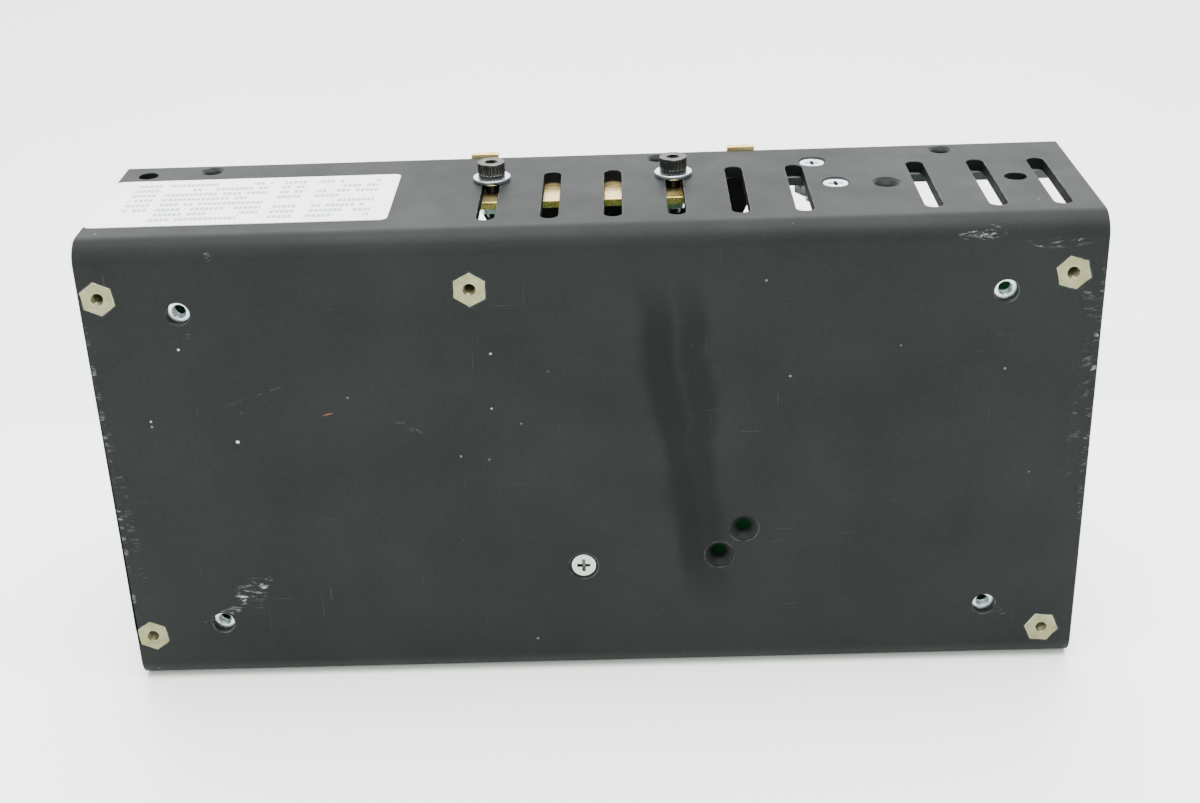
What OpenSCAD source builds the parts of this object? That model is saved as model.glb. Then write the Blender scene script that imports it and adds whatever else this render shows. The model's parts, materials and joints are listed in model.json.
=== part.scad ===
// Switching power supply in a U-channel chassis, with a bracket and a snap
// foot for a 35 mm rail. X runs along the channel, -Y is the mounting face
// and Z is up. The channel stands on its lower flange, and every module works
// from the mounting face (y = 0) and the floor (z = 0) until placed() moves it.

/* [Chassis] */
// Length of the channel
chassis_l = 204; // [204:1:220]
// Height over both flanges
chassis_h = 102.6; // [102.6:0.1:104]
// Depth of the flanges from the mounting face
chassis_d = 47.7; // [47.7:0.1:50]
// Sheet thickness
sheet_t = 2.5; // [2.3:0.1:2.6]
// Outer radius of the two long bends
bend_r = 4.8; // [4:0.1:5.5]

/* [Vent slots] */
// Slot width
slot_w = 3.6; // [3:0.1:4]
// Distance between slot centres
slot_pitch = 12.8; // [12.7:0.1:12.8]
// Near end of the slots from the mounting face
slot_near = 7.8; // [7.6:0.1:12]
// Far end of the slots from the mounting face
slot_far = 36.6; // [34:0.1:36.6]
// Centre of the first slot along the channel
slot_first_x = -20.6; // [-21:0.1:-20]

/* [Base plate fasteners] */
// Hex standoff heads, across flats
hex_af = 6.35; // [5:0.05:7]
// Rectangle of the threaded inserts along the channel
insert_span_x = 165.1; // [160:0.1:170]
// Rectangle of the threaded inserts up the plate
insert_span_z = 73; // [70:0.1:76]
// Height of the middle of that rectangle
insert_mid_z = 50.8; // [50:0.1:52]
// Thread bore of the inserts
insert_bore = 2.85; // [2.6:0.05:3]

/* [Rail foot] */
// Height of the rail's middle above the floor
rail_z = 56; // [54:0.5:58]
// Width of the rail
rail_w = 35; // [35:0.1:35]
// Travel of the sprung latch
latch_travel = 3.6; // [3:0.1:4]

/* [Hidden] */
$fn = 64;
eps = 0.05;            // overshoot of a cutter past the face it opens

// Small screw thread (2.8 mm nominal) and its running gap in a tapped bore
thread_d = 2.84;
tap_d = 2.5;
core_d = 2.44;
clear_d = 3.2;

// Places on the base plate, as [x, z]
hex_places = [[-98.1, 91], [-23.9, 90.8], [95.5, 90.8], [-98.4, 11.4], [95.4, 8]];
hex_tilts = [7, -2, 13, 7, 24];      // how far each head turned as it was pressed in
base_screw_at = [-3.5, 26.4];
empty_countersinks = [[30.7, 34.7], [25.5, 28.4]];

// Places on the flanges, as [x, y]
cover_holes = [[-82.6, 44], [14.8, 44], [76, 44]];
plain_holes = [[-96.1, 42, 4.2], [88.4, 25, 4.6]];
spare_countersink = [61.6, 23.7];
spreader_screw_at = [47.7, 38.6];
device_screw_at = [51.2, 24.8];
slot_count = 10;
slot_left_out = 6;                   // the seventh slot isn't punched
clamp_slots = [0, 3];                // slots that the two cap screws pass through
clamp_y = 32.4;

// Heights of the stack behind the base plate
board_y = 9.5;
board_t = 1.6;
board_top = board_y + board_t;
board_margin = 1;
board_z = [4, 98.4];

// Heads
head_r = 2.6;
head_depth = 1.35;
head_sink = 0.3;
cap_head_d = 5.7;
cap_head_h = 3.2;
washer_t = 0.9;
nut_t = 2.4;

// Rail bracket: a pad under the flange, a back plate behind it and two tabs
bracket_t = 1.6;
bracket_y = chassis_d + 0.5;
bracket_back = bracket_y + bracket_t;
bracket_mid_x = 5;
bracket_half_w = 31.1;
tab_w = 6;
tab_rise = 0.65;
pad_front_y = 25.3;
pad_half_w = 24;
pad_neck_y = 45.5;
pad_neck_x = -18;
pad_top = chassis_h - sheet_t;
shoulder_drop = 9.6;
taper_drop = 40;
leg_half_w = 17;
leg_bottom = 27;

// Rail foot
foot_t = 5;
foot_half_w = 13;
foot_back = bracket_back + foot_t;
lip_gap = 1.3;
hook_t = 3.2;
hook_bite = latch_travel - 0.4;      // the latch's full travel frees the rail
hook_block = 6.5;
total_d = foot_back + lip_gap + hook_t;
foot_low = rail_z - rail_w / 2 - 8.5;
foot_high = rail_z + rail_w / 2 + 0.4 + hook_block;
groove_half_w = 7.2;
groove_depth = 2.4;
groove_top = rail_z - 0.7;
latch_half_w = 7;
latch_t = 2.1;
latch_gap = 0.15;
latch_low = foot_low - 8;
latch_top = groove_top - 0.3;
spring_d = 3.6;
spring_low = rail_z - 11.8;
spring_high = rail_z - 2.5;
spring_y = bracket_back + 2;
foot_screw_places = [[-10, 46], [10, 46], [-10, 64], [10, 64]];

// Input terminal block
block_x = -93;
block_mid_z = 46;
block_pitch = 9.5;
block_w = 13;
block_base_h = 8;
block_wall_h = 13.5;
block_wall_t = 1.4;
plate_side = 7;
plate_t = 1;
terminal_head_r = 3;
terminal_head_h = 2.2;
terminal_thread_r = 1.75;

module placed() translate([0, -total_d / 2, 0]) children();

// A frame whose Z points off the board at [x, z]; its Y runs down the board
module on_board(x, z) translate([x, board_top, z]) rotate([-90, 0, 0]) children();

// A frame whose Z points out of the base plate towards the viewer's side
module on_face(at) translate([at[0], 0, at[1]]) rotate([90, 0, 0]) children();

// A frame whose Z points up from the top of the upper flange at [x, y]
module on_flange(at) translate([at[0], at[1], chassis_h]) children();

module rounded_rect(w, h, r) {
    square([w - 2 * r, h], center = true);
    square([w, h - 2 * r], center = true);
    for (sx = [-1, 1], sy = [-1, 1])
        translate([sx * (w / 2 - r), sy * (h / 2 - r)]) circle(r = r);
}

module block(w, d, h, r = 0.6) linear_extrude(h) rounded_rect(w, d, r);

// ---------------------------------------------------------------- fasteners

// Cross recess of a screw head, cut downwards from z = 0
module cross_recess(span, depth)
    for (a = [0, 90])
        rotate(a) translate([-span / 2, -span / 8, -depth]) cube([span, span / 4, depth + eps]);

// Flat-head screw with its top face at z = 0
module flat_screw(length) difference() {
    union() {
        translate([0, 0, -0.2]) cylinder(r = head_r, h = 0.2);
        translate([0, 0, -head_depth]) cylinder(r1 = core_d / 2, r2 = head_r, h = head_depth - 0.2);
        translate([0, 0, -length]) cylinder(d = core_d, h = length - head_depth + eps);
    }
    cross_recess(2.9, 0.9);
}

// Round-topped screw seated at z = 0
module pan_screw(length, r = 2.7, h = 1.9, shank = core_d) difference() {
    union() {
        cylinder(r = r, h = h * 0.55);
        translate([0, 0, h * 0.55]) cylinder(r1 = r, r2 = r * 0.72, h = h * 0.45);
        translate([0, 0, -length]) cylinder(d = shank, h = length + eps);
    }
    translate([0, 0, h]) cross_recess(r * 1.15, h * 0.6);
}

// Countersunk hole cut down from z = 0 through t; a short land keeps a seated
// flat head off the cone until its rim
sink_land = 0.1;
module countersink(outer_d, inner_d, t) {
    cone_h = (outer_d - inner_d) / 2;
    translate([0, 0, -t - eps]) cylinder(d = inner_d, h = t + 2 * eps);
    translate([0, 0, -cone_h - sink_land]) cylinder(d1 = inner_d, d2 = outer_d, h = cone_h);
    translate([0, 0, -sink_land]) cylinder(d = outer_d, h = sink_land + eps);
}

module hex_prism(af, h) cylinder(d = af / cos(30), h = h, $fn = 6);

module nut(af, h, bore) difference() {
    hex_prism(af, h);
    translate([0, 0, -eps]) cylinder(d = bore, h = h + 2 * eps);
}

// ------------------------------------------------------------------ chassis

// Outline of a channel or an angle bend: a slab with its two front corners rounded
module channel_outline(depth, height, r) {
    translate([r, 0]) square([depth - r, height]);
    translate([0, r]) square([r + eps, height - 2 * r]);
    for (z = [r, height - r]) translate([r, z]) circle(r = r);
}

module along_x(length) rotate([90, 0, 90]) translate([0, 0, -length / 2]) linear_extrude(length) children();

module vent_slot() {
    r = slot_w / 2;
    translate([0, 0, -sheet_t - 1]) linear_extrude(sheet_t + 2) {
        translate([-r, slot_near + r]) square([slot_w, slot_far - slot_near - slot_w]);
        for (y = [slot_near + r, slot_far - r]) translate([0, y]) circle(r = r);
    }
}

hex_head_t = 1.6;
barrel_d = 5.4;
insert_hole = 4.76;
insert_recess = 1.5;
insert_head_r = 3.55;
insert_head_t = 1.5;

module chassis() placed() color("#35373a") difference() {
    along_x(chassis_l) difference() {
        channel_outline(chassis_d, chassis_h, bend_r);
        translate([sheet_t, sheet_t])
            channel_outline(chassis_d, chassis_h - 2 * sheet_t, bend_r - sheet_t);
    }
    for (i = [0 : slot_count - 1]) if (i != slot_left_out)
        translate([slot_first_x + i * slot_pitch, 0, chassis_h]) vent_slot();
    for (at = cover_holes) {
        on_flange(at) countersink(4.8, 3, sheet_t);
        translate([at[0], at[1], 0]) mirror([0, 0, 1]) countersink(4.8, 3, sheet_t);
    }
    for (at = plain_holes) on_flange(at) translate([0, 0, -sheet_t - 1]) cylinder(d = at[2], h = sheet_t + 2);
    for (at = [spare_countersink, spreader_screw_at, device_screw_at])
        on_flange(at) countersink(6, 3.1, sheet_t);
    for (i = [0 : len(hex_places) - 1]) on_face(hex_places[i]) {
        translate([0, 0, -hex_head_t]) rotate(hex_tilts[i] + 30) hex_prism(hex_af, hex_head_t + 1);
        translate([0, 0, -sheet_t - 1]) cylinder(d = barrel_d, h = sheet_t + 1);
    }
    for (at = insert_places()) on_face(at) translate([0, 0, -sheet_t - 1]) cylinder(d = insert_hole, h = sheet_t + 2);
    for (at = concat([base_screw_at], empty_countersinks)) on_face(at) countersink(6.1, 3.1, sheet_t);
}

function insert_places() = [for (sx = [-1, 1], sz = [-1, 1])
    [sx * insert_span_x / 2, insert_mid_z + sz * insert_span_z / 2]];

module hex_standoffs() placed() color("#b9b7ab")
    for (i = [0 : len(hex_places) - 1]) on_face(hex_places[i]) difference() {
        union() {
            translate([0, 0, -hex_head_t]) rotate(hex_tilts[i] + 30) hex_prism(hex_af, hex_head_t);
            translate([0, 0, -board_y]) cylinder(d = barrel_d, h = board_y - hex_head_t + eps);
        }
        translate([0, 0, -board_y - 1]) cylinder(d = tap_d, h = board_y + 2);
    }

module threaded_inserts() placed() color("#c9ccd0")
    for (at = insert_places()) on_face(at) difference() {
        union() {
            translate([0, 0, -sheet_t]) cylinder(d = insert_hole, h = sheet_t - insert_recess);
            translate([0, 0, -sheet_t - insert_head_t]) cylinder(r = insert_head_r, h = insert_head_t);
        }
        translate([0, 0, -sheet_t - insert_head_t - 1]) cylinder(d = insert_bore, h = sheet_t + insert_head_t + 1);
    }

module base_screw() placed() color("#c4c9cc")
    on_face(base_screw_at) translate([0, 0, -head_sink]) flat_screw(5.5);

module centre_spacer() placed() color("#b5b8ba")
    on_face(base_screw_at) difference() {
        translate([0, 0, -board_y]) cylinder(d = hex_af, h = board_y - sheet_t);
        translate([0, 0, -board_y - 1]) cylinder(d = tap_d, h = board_y + 1);
    }

module flange_screws() placed() color("#c4c9cc")
    for (at = [spreader_screw_at, device_screw_at])
        on_flange(at) translate([0, 0, -head_sink]) flat_screw(8.5);

function clamp_places() = [for (i = clamp_slots) [slot_first_x + i * slot_pitch, clamp_y]];

module cap_screws() placed() color("#26282a")
    for (at = clamp_places()) on_flange(at) translate([0, 0, washer_t]) difference() {
        union() {
            cylinder(d = cap_head_d, h = cap_head_h);
            translate([0, 0, -9]) cylinder(d = thread_d, h = 9 + eps);
        }
        translate([0, 0, 1.4]) hex_prism(2.5, 2);
        for (a = [0 : 15 : 345]) rotate(a) translate([cap_head_d / 2 + 0.05, 0, 0.8]) cylinder(d = 0.4, h = 2.1, $fn = 16);
    }

module flat_washers() placed() color("#d6d9dc")
    for (at = clamp_places()) on_flange(at) difference() {
        cylinder(d = 7.9, h = washer_t);
        translate([0, 0, -1]) cylinder(d = clear_d, h = washer_t + 2);
    }

spreader_t = 2;
pad_t = 0.2;
device_tab_t = 1.3;

module hex_nuts() placed() color("#c9ccd0") {
    for (at = clamp_places()) on_flange(at)
        translate([0, 0, -sheet_t - bracket_t - nut_t]) nut(hex_af, nut_t, thread_d + eps);
    on_flange(spreader_screw_at) translate([0, 0, -sheet_t - spreader_t - nut_t]) nut(hex_af, nut_t, tap_d);
    on_flange(device_screw_at)
        translate([0, 0, -sheet_t - pad_t - device_tab_t - nut_t]) rotate(30) nut(5.5, nut_t, tap_d);
}

label_x = [-101.8, -40.4];
label_y = [9.4, 37.8];
label_t = 0.15;

module rating_label() placed() color("#dfe3e0")
    translate([(label_x[0] + label_x[1]) / 2, (label_y[0] + label_y[1]) / 2, chassis_h])
        block(label_x[1] - label_x[0], label_y[1] - label_y[0], label_t, 1.5);

// ------------------------------------------------------- rail bracket and foot

module xz_plate(y, t) translate([0, y + t, 0]) rotate([90, 0, 0]) linear_extrude(t) children();

// Right-hand half of the back plate's outline below the bend, from its middle
module half_leg() polygon([
    [0, leg_bottom], [leg_half_w, leg_bottom], [leg_half_w, chassis_h - taper_drop],
    [bracket_half_w, chassis_h - shoulder_drop], [bracket_half_w, chassis_h + tab_rise],
    [bracket_half_w - tab_w, chassis_h + tab_rise], [bracket_half_w - tab_w, pad_top - bracket_t],
    [0, pad_top - bracket_t]]);

module rail_bracket() placed() color("#b79a4a") difference() {
    union() {
        translate([bracket_mid_x, 0, 0]) xz_plate(bracket_y, bracket_t) {
            half_leg();
            mirror([1, 0]) half_leg();
        }
        translate([-pad_half_w, pad_front_y, pad_top - bracket_t])
            cube([2 * pad_half_w, pad_neck_y - pad_front_y, bracket_t]);
        translate([pad_neck_x, pad_neck_y - eps, pad_top - bracket_t])
            cube([pad_half_w - pad_neck_x, bracket_y - pad_neck_y + eps, bracket_t]);
        // The bend: a quarter round joins the pad to the back plate
        intersection() {
            translate([pad_neck_x, bracket_y, pad_top - bracket_t])
                rotate([0, 90, 0]) cylinder(r = bracket_t, h = pad_half_w - pad_neck_x);
            translate([pad_neck_x, bracket_y, pad_top - bracket_t])
                cube([pad_half_w - pad_neck_x, bracket_t, bracket_t]);
        }
    }
    for (at = clamp_places()) on_flange(at) translate([0, 0, -9]) cylinder(d = clear_d, h = 9);
    for (at = foot_screw_places)
        translate([bracket_mid_x + at[0], bracket_y - 1, at[1]]) rotate([-90, 0, 0])
            cylinder(d = tap_d, h = bracket_t + 2);
}

// Outline of a hook in the plane across the rail: a block with a lip pointing up (+v)
module hook_outline() polygon([
    [0, -4], [lip_gap + hook_t - 1.2, -4], [lip_gap + hook_t, -2.8], [lip_gap + hook_t, hook_bite - 1],
    [lip_gap + hook_t - 1, hook_bite], [lip_gap, hook_bite], [lip_gap, 0], [0, 0]]);

module rail_foot() placed() color("#2b2c2e") translate([bracket_mid_x, bracket_back, 0]) difference() {
    union() {
        translate([-foot_half_w, 0, foot_low]) cube([2 * foot_half_w, foot_t, foot_high - foot_low]);
        translate([0, foot_t, rail_z + rail_w / 2 + 0.4]) mirror([0, 0, 1])
            along_x(2 * foot_half_w) hook_outline();
    }
    translate([-groove_half_w, -eps, foot_low - 1])
        cube([2 * groove_half_w, groove_depth + eps, groove_top - foot_low + 1]);
    translate([-groove_half_w, -eps, foot_low - 1])
        cube([2 * groove_half_w, foot_t + 2 * eps, rail_z - rail_w / 2 + 4.5 - foot_low]);
    translate([-spring_d / 2 - 0.3, groove_depth - eps, spring_low])
        cube([spring_d + 0.6, spring_d + 0.4 - groove_depth, spring_high - spring_low + 0.6]);
    for (at = foot_screw_places) translate([at[0], foot_t, at[1]]) rotate([-90, 0, 0])
        countersink(6, clear_d, foot_t);
}

module foot_screws() placed() color("#c4c9cc")
    for (at = foot_screw_places) translate([bracket_mid_x + at[0], foot_back, at[1]]) rotate([-90, 0, 0])
        translate([0, 0, -head_sink]) flat_screw(foot_t + bracket_t - head_sink);

module rail_latch() placed() color("#8d9296") translate([bracket_mid_x, bracket_back, 0]) difference() {
    union() {
        translate([-latch_half_w, latch_gap, latch_low]) cube([2 * latch_half_w, latch_t, latch_top - latch_low]);
        translate([0, latch_gap + latch_t - eps, rail_z - rail_w / 2 - 4.4])
            translate([-latch_half_w, 0, 0]) cube([2 * latch_half_w, foot_t - latch_gap - latch_t + 2 * eps, 4]);
        translate([0, foot_t, rail_z - rail_w / 2 - 0.4]) along_x(2 * latch_half_w) hook_outline();
    }
    translate([-spring_d / 2 - 0.3, -1, spring_low - 0.4])
        cube([spring_d + 0.6, 2 + latch_t, spring_high - spring_low + 0.5]);
    translate([-3, -1, latch_low + 2]) cube([6, latch_t + 2, 2.2]);
}

module latch_spring() placed() color("#c9ccd0")
    translate([bracket_mid_x, spring_y, spring_low + 0.1]) difference() {
        cylinder(d = spring_d, h = spring_high - spring_low - 0.2);
        translate([0, 0, -1]) cylinder(d = spring_d - 1.2, h = spring_high - spring_low + 2);
    }

// ------------------------------------------------------------- board assembly

module circuit_board() placed() color("#2f6b3c") difference() {
    translate([-chassis_l / 2 + board_margin, board_y, board_z[0]])
        cube([chassis_l - 2 * board_margin, board_t, board_z[1] - board_z[0]]);
    for (at = concat(hex_places, [base_screw_at])) on_face(at)
        translate([0, 0, -board_top - 1]) cylinder(d = clear_d, h = board_t + 2);
}

module board_screws() placed() color("#c4c9cc")
    for (at = concat(hex_places, [base_screw_at])) on_board(at[0], at[1]) pan_screw(4.5);

device_l = 12.4;                     // from the tab's hole to the end of the body
// Power device in a flat package. Origin at its hole on the mounting face,
// leads towards -Y, thickness towards -Z.
module device_tab(lead_l) difference() {
    union() {
        translate([-5.1, -3.2, -device_tab_t]) cube([10.2, 6, device_tab_t]);
        for (x = [-2.54, 0, 2.54])
            translate([x - 0.4, -device_l - lead_l, -2.9]) cube([0.8, lead_l, 0.5]);
    }
    translate([0, 0, -2]) cylinder(d = 3.6, h = 3);
}

module device_body() difference() {
    translate([-5.1, -device_l, -4.4]) cube([10.2, device_l - 3.2, 4.4]);
    translate([-6, -3.4, -4.4 - eps]) rotate([-25, 0, 0]) translate([0, 0, -3]) cube([12, 2, 3]);
}

module under_flange_device() translate([device_screw_at[0], device_screw_at[1], chassis_h - sheet_t - pad_t]) children();

// The second device stands against the heat sink
sink_at = [30, 21];
sink_w = 30;
sink_h = 26;
sink_hole_y = 18;
module on_sink() translate([sink_at[0], board_top + sink_hole_y, sink_at[1] + 3]) children();

module device_bodies() placed() color("#202124") {
    under_flange_device() device_body();
    on_sink() mirror([0, 0, 1]) device_body();
}

module device_tabs() placed() color("#c9ccd0") {
    under_flange_device() device_tab(device_screw_at[1] - device_l - board_top);
    on_sink() mirror([0, 0, 1]) device_tab(sink_hole_y - device_l);
}

module device_pad() placed() color("#8f9aa0")
    translate([device_screw_at[0], device_screw_at[1] - 4.8, chassis_h - sheet_t - pad_t]) difference() {
        translate([-5.6, -8, 0]) cube([11.2, 16.4, pad_t]);
        translate([0, 4.8, -1]) cylinder(d = 3.4, h = 2);
    }

module heat_spreader() placed() color("#26282b") difference() {
    translate([41, 35.9, chassis_h - sheet_t - spreader_t]) cube([57, 10.1, spreader_t]);
    on_flange(spreader_screw_at) translate([0, 0, -9]) cylinder(d = clear_d, h = 9);
    on_flange(cover_holes[2]) translate([0, 0, -9]) cylinder(d = 3.6, h = 9);
}

sink_fins = 6;
module heat_sink() placed() color("#26282b") translate([sink_at[0], board_top + 0.3, sink_at[1]]) difference() {
    union() {
        translate([-sink_w / 2, 0, 0.6]) cube([sink_w, sink_h, 2.4]);
        for (i = [0 : sink_fins - 1])
            translate([-sink_w / 2 + i * (sink_w - 1.6) / (sink_fins - 1), 0, -8]) cube([1.6, sink_h, 8.8]);
    }
    translate([0, sink_hole_y - 0.3, 0]) cylinder(d = tap_d, h = 4);
}

// ------------------------------------------------------------ input terminals

function block_z(i) = block_mid_z + (i - 1) * block_pitch;
contact_top = block_base_h + 0.8;

module at_terminal(i) translate([block_x, board_top, block_z(i)]) rotate([-90, 0, 0]) children();

module input_block() placed() color("#1f2023") difference() {
    union() {
        on_board(block_x, block_mid_z) block(block_w, 3 * block_pitch + block_wall_t, block_base_h, 0.5);
        for (i = [0 : 3])
            on_board(block_x, block_z(i) - block_pitch / 2) block(block_w, block_wall_t, block_wall_h, 0.5);
    }
    for (i = [0 : 2]) at_terminal(i) translate([0, 0, 0.8]) cylinder(r = terminal_thread_r + 0.3, h = block_base_h);
}

module input_contacts() placed() color("#c8a95a")
    for (i = [0 : 2]) at_terminal(i) difference() {
        translate([-5.5, -3.6, block_base_h]) cube([11, 7.2, contact_top - block_base_h]);
        translate([0, 0, block_base_h - 1]) cylinder(r = terminal_thread_r + 0.05, h = 3);
    }

module clamp_plate(i) placed() color("#c9ccd0") at_terminal(i) difference() {
    translate([-plate_side / 2, -plate_side / 2, contact_top + 0.1]) cube([plate_side, plate_side, plate_t]);
    translate([0, 0, contact_top - 1]) cylinder(r = terminal_thread_r + 0.1, h = 4);
}

module terminal_screw(i) placed() color("#c4c9cc")
    at_terminal(i) translate([0, 0, contact_top + 0.1 + plate_t + 0.1])
        pan_screw(7.2, terminal_head_r, terminal_head_h, 2 * terminal_thread_r);

module clamp_plate_1() clamp_plate(0);
module clamp_plate_2() clamp_plate(1);
module clamp_plate_3() clamp_plate(2);
module terminal_screw_1() terminal_screw(0);
module terminal_screw_2() terminal_screw(1);
module terminal_screw_3() terminal_screw(2);

// ------------------------------------------------------------- output header

header_x = 94;
header_mid_z = 46;
header_pitch = 3.96;
header_pins_n = 8;
header_pin_side = 1.14;

module output_header() placed() color("#e8e4d8") on_board(header_x, header_mid_z) difference() {
    union() {
        block(6.6, header_pins_n * header_pitch, 3.2, 0.4);
        translate([2.5, 0, 0]) block(1.4, header_pins_n * header_pitch - 4, 10.5, 0.4);
    }
    for (i = [0 : header_pins_n - 1])
        translate([-0.9, (i - (header_pins_n - 1) / 2) * header_pitch, -1])
            linear_extrude(6) square(header_pin_side + 0.1, center = true);
}

module header_pins() placed() color("#d9d3b8") on_board(header_x, header_mid_z)
    for (i = [0 : header_pins_n - 1])
        translate([-0.9, (i - (header_pins_n - 1) / 2) * header_pitch, 0])
            linear_extrude(13) square(header_pin_side, center = true);

// ------------------------------------------------------------ line components

fuse_at = [-68, 87];
fuse_y = 5.6;

module along_board_x() rotate([0, 90, 0]) children();

module fuse() placed() color("#dfe6e4") on_board(fuse_at[0], fuse_at[1]) translate([0, 0, fuse_y]) along_board_x() {
    translate([0, 0, -8]) cylinder(d = 4.8, h = 16);
    for (s = [-1, 1]) translate([0, 0, s * 7.5 - 2.5]) cylinder(d = 5.2, h = 5);
}

module fuse_clips() placed() color("#c9b06a") on_board(fuse_at[0], fuse_at[1])
    for (s = [-1, 1]) translate([s * 7.5, 0, 0]) difference() {
        translate([-2.2, -3.4, 0]) cube([4.4, 6.8, 7.6]);
        translate([0, 0, fuse_y]) along_board_x() translate([0, 0, -3]) cylinder(d = 5.24, h = 6);
        translate([-3, -1.7, fuse_y]) cube([6, 3.4, 4]);
    }

// Coated disc standing on two leads
module disc_part(d, t, lift) {
    translate([0, 0, lift + d / 2]) rotate([90, 0, 0]) translate([0, 0, -t / 2]) {
        translate([0, 0, t * 0.15]) cylinder(d = d, h = t * 0.7);
        cylinder(d = d - t * 0.5, h = t);
    }
    for (x = [-d / 4, d / 4]) translate([x, 0, 0]) cylinder(d = 0.7, h = lift + 1);
}

module thermistor() placed() color("#33423a") on_board(-82, 71) rotate(90) disc_part(13, 4.5, 3);

module safety_capacitors() placed() color("#4c7fb0") {
    on_board(-86, 16) disc_part(9, 3.4, 3);
    on_board(-86, 24) disc_part(9, 3.4, 3);
    on_board(16, 88) disc_part(9, 3.4, 3);
}

module line_capacitors() placed() color("#d8c35a") {
    on_board(-66, 17) block(26, 12, 20, 0.8);
    on_board(-66, 70) block(18, 9, 15, 0.8);
}

choke_at = [-66, 43];
choke_r = 12;
choke_hole = 6.5;
choke_t = 10;

// Ring section from inner to outer radius, t thick, as a 2D shape to be swept
module ring_section(r_in, r_out, t) translate([r_in, -t / 2]) square([r_out - r_in, t]);

// Copper turns over a ring core, from angle a0 over sweep
module ring_winding(r_in, r_out, t, wire, a0, sweep) rotate(a0) rotate_extrude(angle = sweep) difference() {
    ring_section(r_in - wire, r_out + wire, t + 2 * wire);
    ring_section(r_in - eps, r_out + eps, t + 2 * eps);
}

module on_choke() on_board(choke_at[0], choke_at[1]) translate([0, 0, choke_r + 3.6]) rotate([90, 0, 0]) children();

module choke_core() placed() color("#4a4d50") on_choke()
    rotate_extrude() ring_section(choke_hole, choke_r, choke_t);

module choke_windings() placed() color("#b0622e") on_choke()
    for (a = [-65, 115]) ring_winding(choke_hole, choke_r, choke_t, 1.1, a, 130);

module bridge_rectifier() placed() color("#26272a") on_board(-42, 88) {
    translate([0, 0, 3]) block(22, 3.6, 18, 0.5);
    for (x = [-7.6, -2.5, 2.5, 7.6]) translate([x - 0.6, -0.4, 0]) cube([1.2, 0.8, 4]);
}

// Can capacitor: rolled rim at the top and a crimp groove near the base
module can(d, h) difference() {
    union() {
        cylinder(d = d, h = h - 0.6);
        translate([0, 0, h - 0.6]) cylinder(d1 = d, d2 = d - 1.2, h = 0.6);
    }
    translate([0, 0, 2.4]) rotate_extrude() translate([d / 2 + 0.25, 0]) circle(r = 0.9);
    translate([0, 0, h - 0.4]) cylinder(d = d - 3, h = 1);
}

module bulk_capacitors() placed() color("#23262e")
    for (z = [27, 57]) on_board(-37, z) can(22, 31);

module output_capacitors() placed() color("#2c3650") {
    for (x = [64, 80], z = [27, 43, 59]) on_board(x, z) can(12.5, 25);
    on_board(64, 76) can(10, 20);
    on_board(-12, 88) can(6.3, 11);
}

// ---------------------------------------------------------------- transformer

transformer_at = [-2, 54];
core_w = 34;
core_thick = 11;
core_tall = 29;
core_side = 4.2;
core_end = 5;
core_leg_r = 5.3;
bobbin_base_h = 4;
window_tall = core_tall - 2 * core_end;

module on_transformer() on_board(transformer_at[0], transformer_at[1]) translate([0, 0, bobbin_base_h]) children();

module transformer_core() placed() color("#3c3e41") on_transformer() {
    difference() {
        translate([-core_w / 2, -core_thick / 2, 0]) cube([core_w, core_thick, core_tall]);
        translate([-core_w / 2 + core_side, -core_thick, core_end])
            cube([core_w - 2 * core_side, 2 * core_thick, window_tall]);
    }
    translate([0, 0, core_end - eps]) cylinder(r = core_leg_r, h = window_tall + 2 * eps);
}

module transformer_bobbin() placed() color("#22302a") {
    on_board(transformer_at[0], transformer_at[1]) difference() {
        for (s = [-1, 1]) translate([0, s * 12.3, 0]) block(30, 5.6, bobbin_base_h + core_end, 0.5);
        translate([-core_w, -core_thick / 2 - 0.2, bobbin_base_h]) cube([2 * core_w, core_thick + 0.4, core_tall]);
    }
    on_transformer() difference() {
        union() {
            for (z = [core_end + 0.2, core_end + window_tall - 1.4])
                translate([0, 0, z]) linear_extrude(1.2) rounded_rect(25, 30, 3);
            translate([0, 0, core_end + 0.2]) cylinder(r = core_leg_r + 1.1, h = window_tall - 0.4);
        }
        translate([0, 0, -1]) cylinder(r = core_leg_r + 0.1, h = core_tall + 2);
    }
}

module transformer_winding() placed() color("#d9b23c") on_transformer()
    translate([0, 0, core_end + 1.5]) difference() {
        cylinder(r = 12, h = window_tall - 3);
        translate([0, 0, -1]) cylinder(r = core_leg_r + 1.15, h = window_tall);
    }

// ----------------------------------------------------------- output inductors

inductor_places = [[44, 50], [44, 76]];
inductor_r = 9;
inductor_hole = 5.2;
inductor_t = 8;
inductor_wire = 1.2;

module on_inductor(at) on_board(at[0], at[1])
    translate([0, 0, inductor_r + inductor_wire + 0.6]) rotate([90, 0, 0]) children();

module inductor_cores() placed() color("#c9b23a")
    for (at = inductor_places) on_inductor(at) rotate_extrude() ring_section(inductor_hole, inductor_r, inductor_t);

module inductor_windings() placed() color("#b0622e")
    for (at = inductor_places) on_inductor(at)
        ring_winding(inductor_hole, inductor_r, inductor_t, inductor_wire, 105, 330);

// ------------------------------------------------------------- small control parts

module dip(n, w = 6.4) {
    translate([0, 0, 0.8]) block(n * 2.54 / 2 + 0.2, w, 3.4, 0.2);
    for (i = [0 : n / 2 - 1], s = [-1, 1])
        translate([(i - (n / 2 - 1) / 2) * 2.54 - 0.3, s * (w / 2 + 0.45) - 0.15, 0]) cube([0.6, 0.3, 2.2]);
}

module integrated_circuits() placed() color("#202124") {
    on_board(3, 19.4) dip(14);
    on_board(-10, 11) dip(8);
    on_board(26, 88) rotate(90) dip(4);
    on_board(26, 76) rotate(90) dip(4);
}

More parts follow.
